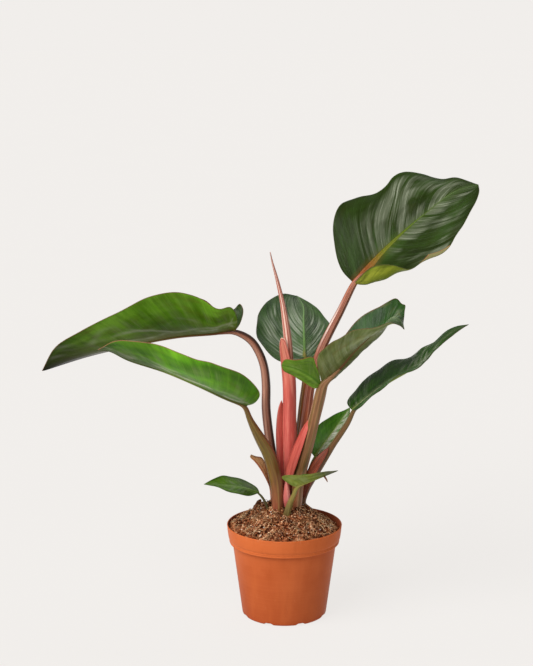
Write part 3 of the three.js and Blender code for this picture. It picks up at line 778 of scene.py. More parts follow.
def leaf_skin(name, look, side):
    shader = LeafShader(name, look)
    deep = look[side][0]
    base = shader.painted_sheen(shader.greens(*look[side]))
    base = shader.fade(base, look["flush"], shader.rib_over, 1.0, look["flush_reach"], look["flush_share"])
    base = shader.veins(shader.folds(base))
    base = shader.midrib(base, deep)
    base = shader.mix(1.0, base, shader.ramp(shader.along, look["shade"]), "MULTIPLY")
    if "curl" in look:
        base = shader.curl(base)
    base = shader.fade(base, look["margin"], shader.edge_gap, 0.3, 1.1, 0.9)
    shader.relief()
    rough = shader.remap(shader.grain["speckle"], 0.3, 0.75, look["rough"] - 0.05, look["rough"] + 0.09)
    streaky = shader.remap(shader.grain["streaks"], 0.3, 0.7, -0.05, 0.05)
    return shader.finish(base, shader.plus(rough, streaky, clamp=True))


def stalk_skin(name, look):
    """A stalk or a sheath. along runs from foot to top, and skin holds places as if it were straight.

    turn is the angle from the groove on a stalk, and millimetres from the margin on a sheath.
    """
    sockets = dict(Specular_IOR_Level=look["gloss"], Coat_Weight=look["coat"], Coat_Roughness=0.25)
    shader = Shader(name, IOR=1.47, **sockets)
    skin, along, turn = shader.vector("skin"), shader.value("along"), shader.value("turn")
    streaks, fine, patches = shader.textures(skin, STALK_NOISE).values()
    specks = shader.noise(skin, 0.9, 5.0, 0.75)
    base = shader.ramp(along, look["run"])
    base = shader.tint(base, look["blush"], patches, 0.45, 0.65, 0.5)
    base = shader.tint(base, look["pale"], streaks, 0.5, 0.68, look["streak"])
    base = shader.tint(base, look["deep"], streaks, 0.5, 0.32, look["streak"])
    base = shader.tint(base, look["pale"], fine, 0.55, 0.75, 0.3)
    base = shader.tint(base, look["deep"], fine, 0.45, 0.28, 0.3)
    for middle, width, share, code, start, end in look["bands"]:
        stripe = shader.remap(shader.apart(turn, middle), 0.6 * width, width, share, 0.0)
        if start > 0:
            stripe = shader.times(stripe, shader.remap(along, start - 0.08, start + 0.08))
        if end < 1:
            stripe = shader.times(stripe, shader.remap(along, end + 0.05, end - 0.05))
        base = shader.mix(stripe, base, code)
    base = shader.tint(base, look["deep"], specks, 0.6, 0.72, 0.3)
    shader.bump(shader.plus(fine, shader.times(streaks, 1.5)), 0.0004, 0.6)
    return shader.finish(base, shader.remap(fine, 0.3, 0.7, look["rough"] - 0.06, look["rough"] + 0.1))


def pot_skin():
    shader = Shader("terracotta_plastic", IOR=1.3, Specular_IOR_Level=0.1)
    place = shader.position()
    values = shader.textures(place, POT_NOISE)
    values["height"] = shader.part(place, "Z")
    base = shader.ramp(shader.noise(place, 14.0, 3.0), {0.3: "b3562c", 0.5: "bd5f34", 0.7: "c6673a"})
    for key, low, high, share, code in POT_TINTS:
        base = shader.tint(base, code, values[key], low, high, share)
    dust = shader.remap(shader.noise(place, 240.0, 5.0, 0.7), 0.52, 0.7)
    dusty = shader.times(shader.remap(values["height"], 0.115, 0.1228), dust)
    base = shader.mix(shader.times(dusty, 0.35), base, "c98a64")
    # Painted shade: the inside wall and the inner edge of the rim are darker.
    base = shader.mix(shader.times(shader.value("inside"), 0.8), base, "8a4832")
    scuffed = shader.times(shader.remap(values["scuffs"], 0.63, 0.72, 0.0, 0.3), 0.3)
    grain = shader.noise(place, 900.0, 3.0, 0.7)
    shader.bump(shader.plus(grain, shader.times(values["turned"], 0.8)), 0.00012, 0.45)
    rough = shader.remap(values["flow"], 0.3, 0.7, 0.36, 0.48)
    return shader.finish(base, shader.plus(rough, scuffed, clamp=True))


# The bed's darker hollows and lighter tops are painted shade and light.
def soil_skin(name, stops, rough=0.92):
    """Coir: its colour follows lift, how far a point stands out of the hollows round it."""
    shader = Shader(name, IOR=1.4, Specular_IOR_Level=0.1)
    place = shader.position()
    grit = shader.noise(place, 420.0, 5.0, 0.75)
    clods = shader.noise(place, 90.0, 4.0, 0.6)
    shade = shader.plus(shader.value("lift"), shader.remap(grit, 0.3, 0.7, -0.25, 0.25))
    shade = shader.plus(shade, shader.remap(clods, 0.35, 0.65, -0.15, 0.15), clamp=True)
    base = shader.tint(shader.ramp(shade, stops), "8a4c30", shader.noise(place, 55.0, 2.0), 0.5, 0.7, 0.35)
    shader.bump(shader.plus(grit, clods), 0.0012, 0.8)
    return shader.finish(base, shader.remap(grit, 0.3, 0.7, rough - 0.12, rough))


# Blades and sheaths

def margin_of(spec, side, soften):
    return Curve([spec["rib"][0], *spec[side], spec["rib"][-1]], soften=soften)


def belly_of(points):
    return Curve([(0, 0, 0), *points, (0, 0, 0)])


def spread_rows(width, ridge, rows):
    """How far across the points of a half lie at one station: close together at the rib and the margin."""
    ridge = min(ridge, 0.4 * width)
    rim = min(1.1, 0.2 * width)
    near = ridge * np.array([0, 0.25, 0.5, 0.72, 0.88, 1.0]) / width
    far = 1 - rim * np.array([0.5, 0.15, 0]) / width
    between = np.linspace(1.25 * ridge / width, 1 - rim / width, rows - len(near) - len(far) + 1)
    return np.concatenate([near, between, far])


def middle_layer(rib, margins, bellies, ridge, rows):
    """A grid of points from margin to margin, the places across it and the widths of its halves."""
    along = np.linspace(0, 1, len(ridge))
    rib_points = rib.at(along**RIB_PACE)
    shape = (len(along), 2 * rows + 1)
    grid, across, widths = np.zeros((*shape, 3)), np.zeros(shape), np.ones(shape)
    for side, margin, belly in zip((-1, 1), margins, bellies):
        edges, sags = margin.at(along), belly.at_turn(along)
        numbers = rows + side * np.arange(rows + 1)
        for i, middle in enumerate(rib_points):
            width = max(np.linalg.norm(edges[i] - middle), 1e-3)
            share = spread_rows(width, ridge[i], rows)[:, None]
            grid[i, numbers] = middle * (1 - share) + edges[i] * share + sags[i] * 4 * share * (1 - share)
            across[i, numbers] = side * share[:, 0]
            widths[i, numbers] = width
    return grid, across, widths


def half_thickness(form, edge_gap):
    return 0.5 * form["thickness"] * np.clip(edge_gap / EDGE_ROUNDING, 0, 1) ** 0.5


def blade_form(spec, seed):
    """The grids of a blade's two skins and the values at their points."""
    form = {**spec["form"], **spec.get("change", {})}
    rows = form["rows"]
    along = np.linspace(0, 1, form["stations"] + 1)
    ridge = form["rib_width"] * (1 - 0.7 * along) + 0.05
    rib = Curve(spec["rib"], soften=BLADE_SOFTEN)
    margins = [margin_of(spec, side, BLADE_SOFTEN) for side in ("left", "right")]
    bellies = [belly_of(spec.get(key, [])) for key in ("left_belly", "right_belly")]
    grid, across, widths = middle_layer(rib, margins, bellies, ridge, rows)
    normals = grid_normals(grid)
    normals[:, rows] = unit(normals[:, rows - 1] + normals[:, rows + 1])

    side = np.sign(across)
    share = np.abs(across)
    run = along[:, None] * np.ones_like(share)
    rib_gap, edge_gap = share * widths, (1 - share) * widths
    vein = form["veins"] * (run - form["sweep"] * share ** form["bow"] + 0.012 * side)
    leaf = np.stack([vein, 2.2 * across, seed * np.ones_like(share)], axis=-1)
    wobble = noise_at(leaf * (0.85, 0.9, 1.0))
    sway = noise_at(leaf * (0.3, 0.7, 1.0) + 7.7)
    streak = noise_at(leaf * (2.3, 0.5, 1.0) + 3.3)
    quilt = form["quilt"] * (np.abs(np.sin(np.pi * vein)) ** 0.7 - 0.6)
    window = smooth_step(share, 0.02, 0.3) * (1 - 0.6 * smooth_step(share, 0.75, 1.0))
    window *= np.sin(np.pi * np.clip(run, 0, 1)) ** 0.4
    relief = (quilt + form["undulation"] * (wobble + 0.8 * sway) + form["streak"] * streak) * window
    relief += pleats(form, run, rib_gap, side, seed)
    swell = np.sin(np.pi * run) * np.sin(2 * np.pi * form["waves"] * run + side)
    relief += form["wave"] * swell * share**2

    grid = grid + normals * relief[..., None]
    normals = grid_normals(grid)
    sheet = half_thickness(form, edge_gap)
    round_rib = np.clip(1 - (rib_gap / np.maximum(ridge[:, None], 1e-3)) ** 2, 0, 1) ** 0.75
    taper = (1 - 0.8 * run) * smooth_step(edge_gap, 0.0, 3.0)
    upper = grid + normals * (sheet + 0.28 * form["keel"] * taper * round_rib)[..., None]
    lower = grid - normals * (sheet + form["keel"] * taper * round_rib)[..., None]
    return upper, lower, dict(along=run, vein=vein, rib_gap=rib_gap, edge_gap=edge_gap, leaf=leaf)


def pleats(form, run, rib_gap, side, seed):
    """Folds that run beside the rib on one half, low at the rib and gone further out."""
    height, half, reach = form.get("pleats", (0, 0, 1))
    if not height:
        return 0 * run
    rough = noise_at(np.stack([run * 5.0, rib_gap / reach * 2.2, seed + 0 * run], axis=-1))
    window = smooth_step(rib_gap, 2, 8) * (1 - smooth_step(rib_gap, 0.7 * reach, 1.5 * reach))
    return height * rough * window * (side == half) * np.sin(np.pi * run) ** 0.5


def make_blade(name, spec, seed, nodes):
    """A blade of two skins, and the points under its rib that its stalk runs on to."""
    upper, lower, values = blade_form(spec, seed)
    points, faces, sides, spread = closed_sheet(upper, lower)
    look = LEAF_LOOKS[name]
    rib_over, skins = [], []
    for side, key in (("upper", "above"), ("under", "below")):
        face = {**look, **look[key]}
        skins.append(leaf_skin(f"{name}_{side}", face, side))
        rib_over.append(values["rib_gap"] - np.interp(values["along"], *zip(*face["rib_reach"].items())))
    kept = {key: spread(values[key], values[key]) for key in ("along", "vein", "edge_gap", "leaf")}
    kept["rib_over"] = spread(*rib_over)
    piece(name, points, faces, nodes, "leaf_blade", skins, sides, kept)
    middle = upper.shape[1] // 2
    return values["along"][:, middle] ** RIB_PACE, lower[:, middle], upper[:, middle]


def sheath_form(spec, seed):
    """The grids of a sheath: halves that curl back from its rib by its wrap."""
    rows = SHEATH["rows"]
    rib = Curve(spec["rib"], soften=SHEATH_SOFTEN)
    margins, bellies = [], []
    for side in ("left", "right"):
        margin = margin_of(spec, side, SHEATH_SOFTEN)
        out = rib.at([0.5])[0] - margin.at([0.5])[0]
        bend = np.array([out[1], -out[0], 0.0])
        bend = unit(bend if bend[1] < 0 else -bend) * spec["wrap"]
        margins.append(margin)
        bellies.append(belly_of([bend, bend]))
    along = np.linspace(0, 1, SHEATH["stations"] + 1)
    grid, across, widths = middle_layer(rib, margins, bellies, SHEATH["rib_width"] + 0 * along, rows)
    round_crease(grid, rows)
    normals = grid_normals(grid)
    share = np.abs(across)
    run = along[:, None] * np.ones_like(share)
    edge_gap = (1 - share) * widths
    skin = np.stack([across * 6, seed * np.ones_like(share), run * rib.length], axis=-1)
    folds = noise_at(skin * (0.35, 1.0, 0.012))
    grid = grid + normals * (0.5 * folds * np.sin(np.pi * run) ** 0.5)[..., None]
    out = normals * half_thickness(SHEATH, edge_gap)[..., None]
    return grid + out, grid - out, dict(along=run, turn=edge_gap, skin=skin)


def round_crease(grid, rows):
    """Rounds the crease at the rib column."""
    for _ in range(3):
        middle = grid[:, rows - 3 : rows + 4].copy()
        grid[:, rows - 2 : rows + 3] = (middle[:, :-2] + middle[:, 1:-1] + middle[:, 2:]) / 3


def make_sheath(name, spec, look, nodes, slot, seed):
    upper, lower, values = sheath_form(spec, seed)
    points, faces, _, spread = closed_sheet(upper, lower)
    values = {key: spread(grid, grid) for key, grid in values.items()}
    piece(name, points, faces, nodes, slot, [stalk_skin(name + "_skin", look)], values=values)


# Stalks, the spear and the stem: round sweeps

def sweep(points, sides, step, swell=None):
    """A tube through points with widths: its grid of points, and the values that its material reads.

    swell takes shares along and angles and gives how much thicker the tube is there.
    """
    path = Curve(points, soften=STALK_SOFTEN)
    count = max(8, int(path.length / step))
    line = path.at(np.linspace(0, 1, count + 1))
    centres, radii = line[:, :3], line[:, 3] / 2
    tangents = unit(np.gradient(centres, axis=0))
    across = unit(np.cross((0.0, 1.0, 0.0), tangents))
    depth = np.cross(tangents, across)
    angles = np.linspace(0, 2 * np.pi, sides, endpoint=False)
    share = np.linspace(0, 1, count + 1)[:, None] * np.ones(sides)
    turn = np.ones((count + 1, 1)) * angles
    cos, sin = np.cos(turn), np.sin(turn)
    thick = radii[:, None] * (1 + (swell(share, turn) if swell else 0))
    ring = thick[..., None] * (cos[..., None] * across[:, None] + sin[..., None] * depth[:, None])
    skin = np.stack([cos * 5, sin * 5, share * path.length], axis=-1)
    return centres[:, None] + ring, share, turn, skin


def tube_mesh(grid):
    """Points and faces of a closed tube with one flat face over each end."""
    count, sides = grid.shape[:2]
    faces = ring_faces(0, count, sides)
    faces.append(list(range(sides))[::-1])
    faces.append(list(range((count - 1) * sides, count * sides)))
    return grid.reshape(-1, 3), faces


def angle_gap(turn, centre):
    return np.abs((turn - centre + np.pi) % (2 * np.pi) - np.pi)


def make_stalk(name, points, look, nodes, slot, sides=28, step=3.0, swell=None):
    grid, share, turn, skin = sweep(points, sides, step, swell)
    turn = angle_gap(turn, math.radians(look["groove_at"]))
    values = dict(along=share.ravel(), turn=turn.ravel(), skin=skin.reshape(-1, 3))
    piece(name, *tube_mesh(grid), nodes, slot, [stalk_skin(name + "_skin", look)], values=values)


def leaf_stalk(name, spec, underside):
    """A leaf's stalk, run on under the rib and thinned until the ridge of the blade takes over."""
    rib_reach, below, above = underside
    look = STALK_LOOKS[name]
    scale = 1 if spec["form"] is LARGE else SMALL_RUN_ON
    points = spec["stalk"][:-1]
    width = spec["stalk"][-1][3]
    rib_length = Curve(spec["rib"]).length
    for distance, share in RUN_ON:
        number = int(np.searchsorted(rib_reach, distance * scale / rib_length))
        place = below[number] * 0.55 + above[number] * 0.45
        points = [*points, (*place, width * share)]
    groove_at = math.radians(look["groove_at"])

    def swell(share, turn):
        """A groove with raised lips that ends below the leaf, and a slight unevenness."""
        away = angle_gap(turn, groove_at)
        groove = np.exp(-((away / 0.42) ** 2))
        lips = np.exp(-(((away - 0.62) / 0.25) ** 2))
        depth = 0.1 * (1 - smooth_step(share, 0.75, 0.95))
        return depth * (0.5 * lips - groove) + 0.02 * np.sin(5 * turn + 9 * share)

    make_stalk(name + "_stalk", points, look, [name + "_stalk"], "leaf_stalk", swell=swell)


def spear_swell(share, turn):
    """The rolled edge: a step that winds once round the spear."""
    seam = (turn - math.radians(262) + 0.9 * share) % (2 * np.pi) / (2 * np.pi)
    return 0.1 * (seam - 0.5) * (1 - smooth_step(share, 0.9, 1.0)) - 0.02


# Looks. Colours are hex codes of display colours, and where one changes along a piece, the places run from 0
# at the base to 1 at the tip or top.

EVEN = {0: "ffffff", 1: "ffffff"}

# A blade's upper and under greens are deep, middle and bright, with blush for blotches. above and below hold
# what differs between the two sides. veins, glow, painted_sheen, gleam and flush_share are strengths: of the
# side veins, of the midrib's glow, of the painted whitish sheen, of the painted highlight lines of glint
# colour in it, and of the flush round the midrib, which ends at flush_reach. sheen_from says how much
# feather and cloud noise it takes for sheen, sheen_left and sheen_right where it lies along each half, and
# calm_edge how
# wide a margin it leaves free: on the left near the base and near the tip, and on the right. folds are soft
# painted highlight lines with their place in the noise, their distance from the midrib and their strength.
# rib_reach is half the midrib's width, and shade what darkens the blade. curl has its middle, half length
# and reach, and two colours.
TOP = dict(
    veins=0.16, vein="506a3a", rough=0.3, gloss=0.14, relief=0.8, painted_sheen=0.6, sheen="5f6a50",
    glint="98a584", gleam=0.5, sheen_left=EVEN, sheen_right=EVEN, sheen_from=(0.42, 0.38),
    calm_edge=(18.0, 18.0, 18.0), flush="2c3c12", flush_share=0.0, flush_reach=20.0, folds=(),
    rib_reach={0: 1.9, 0.6: 1.0, 1: 0.3}, glow=0.2,
)
UNDER = dict(
    TOP, veins=0.2, vein="8fa544", rough=0.4, gloss=0.13, relief=0.7, painted_sheen=0.3, sheen="8f9c66",
    glint="c3cca6", gleam=0.3, flush="6e6a34", flush_share=0.3, flush_reach=28.0,
    rib_reach={0: 2.8, 0.6: 1.5, 1: 0.4},
)
SMALL_TOP = dict(
    TOP, veins=0.1, vein="7aa050", rib_reach={0: 1.0, 1: 0.3}, relief=0.4, gloss=0.12, painted_sheen=0.2,
    calm_edge=(6.0, 6.0, 6.0),
)
SMALL_UNDER = dict(
    UNDER, veins=0.12, rib_reach={0: 1.3, 1: 0.4}, relief=0.4, painted_sheen=0.15,
    calm_edge=(6.0, 6.0, 6.0), flush_share=0.0,
)

# Under greens: the undersides' paler colour plus painted light that shines through the blade.
LEAF_LOOKS = {
    "arching_left": dict(
        upper=("1c2e0c", "283e14", "38501e"), under=("486812", "62981a", "8cc03a"), blush="667020",
        margin="6b4a2c", shade={0: "ffffff", 0.35: "f4f4f4", 0.6: "c8c8c8", 0.85: "808080", 1: "343434"},
        above=dict(
            TOP, painted_sheen=0.95, sheen="8a947c",
            sheen_right={0: "ffffff", 0.12: "ffffff", 0.18: "404040", 1: "808080"},
            rib={0: "8c5a3c", 0.5: "7d8a4a", 1: "6f8f45"},
        ),
        below=dict(
            UNDER, gloss=0.09, flush="786c3a", flush_share=0.6, flush_reach=34.0,
            folds=[(2.0, 12.0, 0.7), (13.0, 22.0, 0.6), (31.0, 31.0, 0.35)],
            # From 0.72 to 0.93 the rib is near white and wider: a painted highlight near the tip.
            rib={0: "9a5a44", 0.4: "8e6a40", 0.6: "8a7048", 0.72: "e8e8dc", 0.93: "ffffff", 1: "6d8f3c"},
            rib_reach={0: 2.8, 0.6: 1.6, 0.76: 3.2, 0.9: 3.0, 1: 0.4},
        ),
    ),
    "lower_left": dict(
        upper=("1e340c", "2c4c12", "40681c"), under=("40700c", "5a9c14", "80c424"), blush="5f8a1c",
        margin="93664a",
        shade={0: "c4c4c4", 0.3: "cacaca", 0.46: "f4f4f4", 0.6: "ffffff", 0.72: "a8a8a8", 1: "949494"},
        above=dict(TOP, rib={0: "8c6a3c", 0.5: "7d8a4a", 1: "8f9f55"}),
        below=dict(
            UNDER, flush="6a7a3e", flush_share=0.6, flush_reach=18.0,
            folds=[(5.0, 9.0, 0.8), (17.0, 15.0, 0.6)],
            rib={0: "7d6236", 0.4: "75803a", 1: "a8a060"},
        ),
    ),
    "top_right": dict(
        upper=("1a2405", "24340b", "314a17"), under=("5c6c18", "7c8a26", "a2a838"), blush="2a320c",
        margin="4a4a24", shade=EVEN,
        above=dict(
            TOP, vein="4e6a3c", relief=1.0, gloss=0.09, painted_sheen=0.95, sheen="5c634e", glint="9ca38c",
            gleam=0.7, calm_edge=(70.0, 16.0, 8.0),
            sheen_left={0: "a0a0a0", 0.36: "d0d0d0", 0.5: "ffffff", 1: "ffffff"},
            sheen_right={0: "000000", 0.36: "202020", 0.44: "ffffff", 1: "ffffff"},
            rib={0: "96482a", 0.2: "8c501c", 0.36: "6c6e18", 0.55: "54681a", 1: "6a8450"},
            rib_reach={0: 3.5, 0.35: 3.0, 0.55: 1.7, 0.7: 0.7, 1: 0.4},
            curl=(0.475, 0.09, 20.0, "827c50", "a86c46"),
        ),
        below=dict(UNDER, rib={0: "a8683a", 0.3: "9a9a40", 1: "8fa55c"}),
    ),
    "back": dict(
        upper=("22381a", "345026", "4a6836"), under=("2f5a1c", "467726", "62933a"), blush="465632",
        margin="3f3a20", shade=EVEN,
        above=dict(
            TOP, veins=0.4, vein="94a884", painted_sheen=0.95, sheen="8f9884", glint="c2c8b6", gleam=0.9,
            sheen_left={0: "ffffff", 0.5: "ffffff", 0.8: "a0a0a0", 1: "a0a0a0"},
            sheen_right={0: "ffffff", 0.6: "ffffff", 0.85: "c0c0c0", 1: "c0c0c0"},
            rib={0: "5c8034", 0.5: "6c9050", 1: "84a46c"},
            rib_reach={0: 2.4, 0.5: 1.6, 1: 0.6},
        ),
        below=dict(UNDER, rib={0: "9a6a44", 1: "7f9a4c"}),
    ),
    "middle_right": dict(
        upper=("18300e", "264818", "386026"), under=("55602c", "74824a", "a2aa7c"), blush="7a6e3c",
        margin="6b4a2c", shade={0: "d0d0c0", 0.3: "dedecc", 0.55: "ffffff", 1: "ffffff"},
        above=dict(
            TOP, veins=0.32, vein="7d9a74", painted_sheen=0.85, sheen="747f68",
            sheen_left={0: "b0b0b0", 0.6: "b0b0b0", 0.75: "ffffff", 1: "ffffff"},
            rib={0: "7a8a4a", 0.6: "a8b498", 1: "9cb07c"},
        ),
        below=dict(
            UNDER, painted_sheen=0.5, sheen="9aa384", flush_share=0.1,
            rib={0: "8a4a36", 0.6: "7c5236", 1: "7a8a4a"},
            rib_reach={0: 2.8, 0.5: 1.4, 1: 0.8},
        ),
    ),
    "middle_right_lobe": dict(
        upper=("1c3a12", "2a501a", "3f6a26"), under=("4a6c14", "679022", "88b044"), blush="6a8a2c",
        margin="8a4f38", shade={0: "e0e0e0", 0.5: "ffffff", 1: "f0f0f0"},
        above=dict(SMALL_TOP, rib={0: "2a501a", 1: "2a501a"}, glow=0.0),
        below=dict(SMALL_UNDER, rib={0: "4f801c", 1: "4f801c"}, glow=0.0),
    ),
    "far_right": dict(
        upper=("1e3a10", "2c5214", "426c24"), under=("33501a", "4a6a26", "688a38"), blush="325016",
        margin="4a4028", shade={0: "ffffff", 0.7: "ffffff", 0.82: "c8c8c8", 1: "b0b0b0"},
        above=dict(
            TOP, painted_sheen=0.9, gloss=0.07, sheen="8a917c", glint="b8bea8", gleam=0.7,
            calm_edge=(5.0, 5.0, 5.0),
            sheen_left={
                0: "e0e0e0", 0.12: "a0a0a0", 0.3: "303030", 0.5: "404040", 0.6: "ffffff", 0.72: "ffffff",
                0.8: "303030", 1: "303030",
            },
            sheen_right={
                0: "404040", 0.5: "606060", 0.6: "ffffff", 0.72: "ffffff", 0.8: "303030", 1: "303030",
            },
            rib={0: "74842e", 0.16: "a4ac7c", 0.7: "b8be9c", 1: "8a9a6a"},
            rib_reach={0: 1.6, 0.5: 1.0, 1: 0.4},
        ),
        below=dict(UNDER, rib={0: "8f8a34", 0.3: "93a050", 1: "93a86c"}),
    ),
    "small_lower_right": dict(
        upper=("2c560c", "3a6e14", "508a1e"), under=("335c18", "467424", "5f8c34"), blush="446c18",
        margin="4a5a24", shade=EVEN,
        above=dict(
            SMALL_TOP, painted_sheen=0.85, sheen="b0b8a0", glint="eceee4", gleam=0.9, sheen_from=(0.34, 0.2),
            calm_edge=(3.0, 3.0, 4.0),
            sheen_left={0: "000000", 1: "000000"}, rib={0: "8a9a4a", 1: "9ab868"},
        ),
        below=dict(SMALL_UNDER, rib={0: "8a9840", 1: "7fa050"}),
    ),
    "small_front": dict(
        upper=("27520f", "346a1a", "488228"), under=("66752a", "82933c", "a2b058"), blush="94944a",
        margin="6a6a34", shade={0: "ffffff", 0.6: "f0f0f0", 0.8: "9a9a9a", 1: "787878"},
        above=dict(SMALL_TOP, rib={0: "8a9a4a", 1: "9ab868"}),
        below=dict(SMALL_UNDER, painted_sheen=0.4, sheen="9aa870", rib={0: "8a7f3c", 1: "94a04a"}),
    ),
    "small_left": dict(
        upper=("2a4606", "40640a", "5a8018"), under=("2c5414", "3f6c20", "58862e"), blush="4c6a12",
        margin="3f4a1c", shade=EVEN,
        above=dict(SMALL_TOP, painted_sheen=0.5, sheen="6f7c60", rib={0: "6f8a40", 0.5: "8aa468", 1: "84a058"}),
        below=dict(SMALL_UNDER, rib={0: "7f8038", 1: "74903f"}),
    ),
}

# run gives a stalk's colours, with blush for patches and pale and deep for streaks. groove_at is the side
# that its groove faces, in degrees from right through the back. bands are lengthwise stripes: the middle
# and half width, in radians from the groove or in millimetres from a sheath's margin, the strength, the
# colour, and the start and end along the piece. gloss and coat are the shine, and rough how dull it is.
STALK = dict(
    pale="b08060", deep="4a2a1c", blush="8a543c", streak=0.55, rough=0.36, gloss=0.28, coat=0.06,
    groove_at=90, bands=[(0.0, 0.3, 0.6, "4a281c", 0, 1)],
)
GREEN_STALK = dict(STALK, pale="b0a868", deep="5a5a28", streak=0.3, bands=[])
STALK_LOOKS = {
    "arching_left": dict(
        STALK, groove_at=350, run={0: "8a4636", 0.35: "905640", 0.7: "9c6450", 1: "ae6c52"},
        pale="c4927a",
        # The dark band on the right: own colour and painted shade. The pale stripe: a painted highlight.
        bands=[
            (0.0, 1.3, 0.92, "2c1a12", 0, 1), (1.85, 0.34, 0.55, "cf9a84", 0, 1),
            (2.75, 0.3, 0.6, "6a3a2c", 0, 1),
        ],
    ),
    "lower_left": dict(
        STALK, groove_at=60, blush="665a22", pale="9a7a44",
        run={0: "9a4632", 0.25: "82502a", 0.5: "6e5a24", 0.72: "765e28", 0.85: "8a6236", 1: "74742c"},
        bands=[
            (1.5, 0.35, 0.65, "94583a", 0, 1), (1.05, 0.2, 0.8, "4a2c18", 0, 1),
            (2.15, 0.16, 0.5, "7a4428", 0, 1),
        ],
    ),
    "top_right": dict(
        STALK, groove_at=207, pale="c48c78", deep="6a3428", blush="9a5444",
        run={0: "9a4626", 0.3: "a85426", 0.5: "a85a3a", 0.72: "b87460", 1: "a8623c"},
        bands=[
            # The near-white band high on the groove side is a painted highlight.
            (0.0, 0.4, 0.95, "ffece0", 0.69, 0.79), (0.6, 0.16, 0.7, "6a3426", 0, 1),
            (1.25, 0.14, 0.5, "d09a84", 0.4, 1),
            (1.6, 0.2, 0.6, "6a3426", 0, 1),
        ],
    ),
    "back": dict(
        STALK, groove_at=215, blush="9c5830", pale="b87a48",
        run={0: "8a4420", 0.4: "a85624", 0.78: "a86026", 0.9: "6c7e30", 1: "5c8034"},
        bands=[
            (0.0, 0.3, 0.9, "2a180c", 0, 0.8), (0.5, 0.24, 0.6, "6a6a34", 0, 1),
            (0.0, 3.2, 0.9, "5c8034", 0.9, 1),
        ],
    ),
    "middle_right": dict(
        STALK, groove_at=80, blush="84603a", pale="b48a62",
        run={0: "8a462e", 0.3: "7e5630", 0.6: "865a38", 1: "9c6c4a"},
        bands=[
            (2.5, 0.22, 0.4, "66602c", 0, 1), (2.0, 0.2, 0.4, "c08c68", 0, 1),
            (1.5, 0.25, 0.6, "a45a40", 0, 1),
            (1.1, 0.25, 0.7, "5e3022", 0, 1),
        ],
    ),
    "far_right": dict(
        STALK, groove_at=110, blush="5f4a22", pale="86683c",
        run={0: "5a2f22", 0.35: "5f3c22", 0.7: "665028", 1: "7a7030"},
        bands=[(1.5, 0.25, 0.5, "94825a", 0, 1), (2.6, 0.3, 0.5, "7a4a2c", 0, 1)],
    ),
    "small_lower_right": dict(GREEN_STALK, blush="7f7a34", run={0: "7a4a30", 0.6: "7f7a38", 1: "84903f"}),
    "small_front": dict(
        GREEN_STALK, blush="8a7a3c", run={0: "4a3a20", 0.3: "64522a", 0.6: "857437", 1: "8a8a3a"},
    ),
    "small_left": dict(
        GREEN_STALK, pale="7a7444", deep="2a2414", blush="4a4424",
        run={0: "3a2a1a", 0.6: "4a4422", 1: "5f6a2a"},
    ),
}
SPEAR_LOOK = dict(
    STALK, groove_at=255, pale="f6ccb8", deep="a84438", blush="dc8a78", streak=0.6,
    run={0: "cc6454", 0.45: "d67c6a", 0.7: "dc9480", 0.84: "b06654", 0.95: "6f3c2e", 1: "4f2a20"},
    bands=[
        (0.0, 0.22, 0.85, "f8dccb", 0, 1), (0.42, 0.16, 0.7, "a84236", 0, 1),
        (0.8, 0.2, 0.5, "f0bca8", 0, 1),
        (1.25, 0.2, 0.75, "8f4434", 0, 1),
    ],
)
CROWN_LOOK = dict(
    STALK, pale="a06a58", deep="3f1f1c", blush="6f3430", streak=0.6, rough=0.42,
    run={0: "4a2a20", 0.5: "7a3c34", 1: "b05a4c"},
)
BUD_LOOK = dict(
    STALK, groove_at=90, pale="f0a898", deep="a84a48", blush="d87c70", gloss=0.4,
    run={0: "9a4438", 0.4: "d0706a", 0.8: "cc6a60", 1: "a85044"},
)
RED_SHEATH = dict(
    STALK, pale="ea9684", deep="b0403a", blush="c85448", streak=0.6, rough=0.4,
    bands=[(0.0, 1.0, 0.5, "a83c34", 0, 1)],
)
SHEATH_LOOKS = {
    "main_cataphyll": dict(
        RED_SHEATH, run={0: "b04a40", 0.25: "d8645a", 0.7: "cc5c50", 1: "cf8068"},
        bands=[
            (0.0, 0.9, 0.85, "f4ccb6", 0.4, 1), (1.8, 0.9, 0.6, "a83c34", 0, 1),
            (3.6, 0.8, 0.4, "e88c7c", 0, 1),
        ],
    ),
    "left_cataphyll": dict(
        RED_SHEATH, pale="e88476", deep="942e2a", blush="c04c42",
        run={0: "a8443a", 0.5: "c84e46", 1: "cc6858"},
    ),
    "right_cataphyll": dict(
        RED_SHEATH, run={0: "7a3c30", 0.3: "964438", 0.55: "b84c42", 1: "be4e44"},
        pale="d8705f", deep="7e342a", bands=[(0.0, 2.4, 0.5, "d2564c", 0.3, 1)],
    ),
    "dry_cataphyll": dict(
        RED_SHEATH, pale="ecc898", deep="94603c", blush="d09c68", rough=0.6, coat=0.0,
        run={0: "b05c48", 0.4: "c88858", 0.75: "d8a470", 0.9: "c49460", 1: "5f4a2c"},
        bands=[(1.4, 2.2, 0.75, "8f4430", 0, 0.9)],
    ),
    "wing": dict(
        RED_SHEATH, pale="a85636", deep="4f2818", blush="84402a",
        run={0: "5f3020", 0.6: "843a26", 1: "7a3626"}, bands=[(0.0, 0.8, 0.7, "5a2418", 0, 1)],
    ),
}
COIR = {0: "120704", 0.3: "441c0b", 0.5: "8a4a2a", 0.72: "c6855c", 1: "f2cca6"}
FIBRE = {0: "865030", 0.45: "c88e5e", 1: "f4d2a6"}
WOOD = {0: "3c2216", 0.5: "7a4a32", 1: "a87858"}
BARK = {0: "2a1810", 0.5: "5a3826", 1: "86604a"}
PERLITE = {0: "c8c0b2", 0.5: "e6e0d4", 1: "f6f2ea"}


# Soil

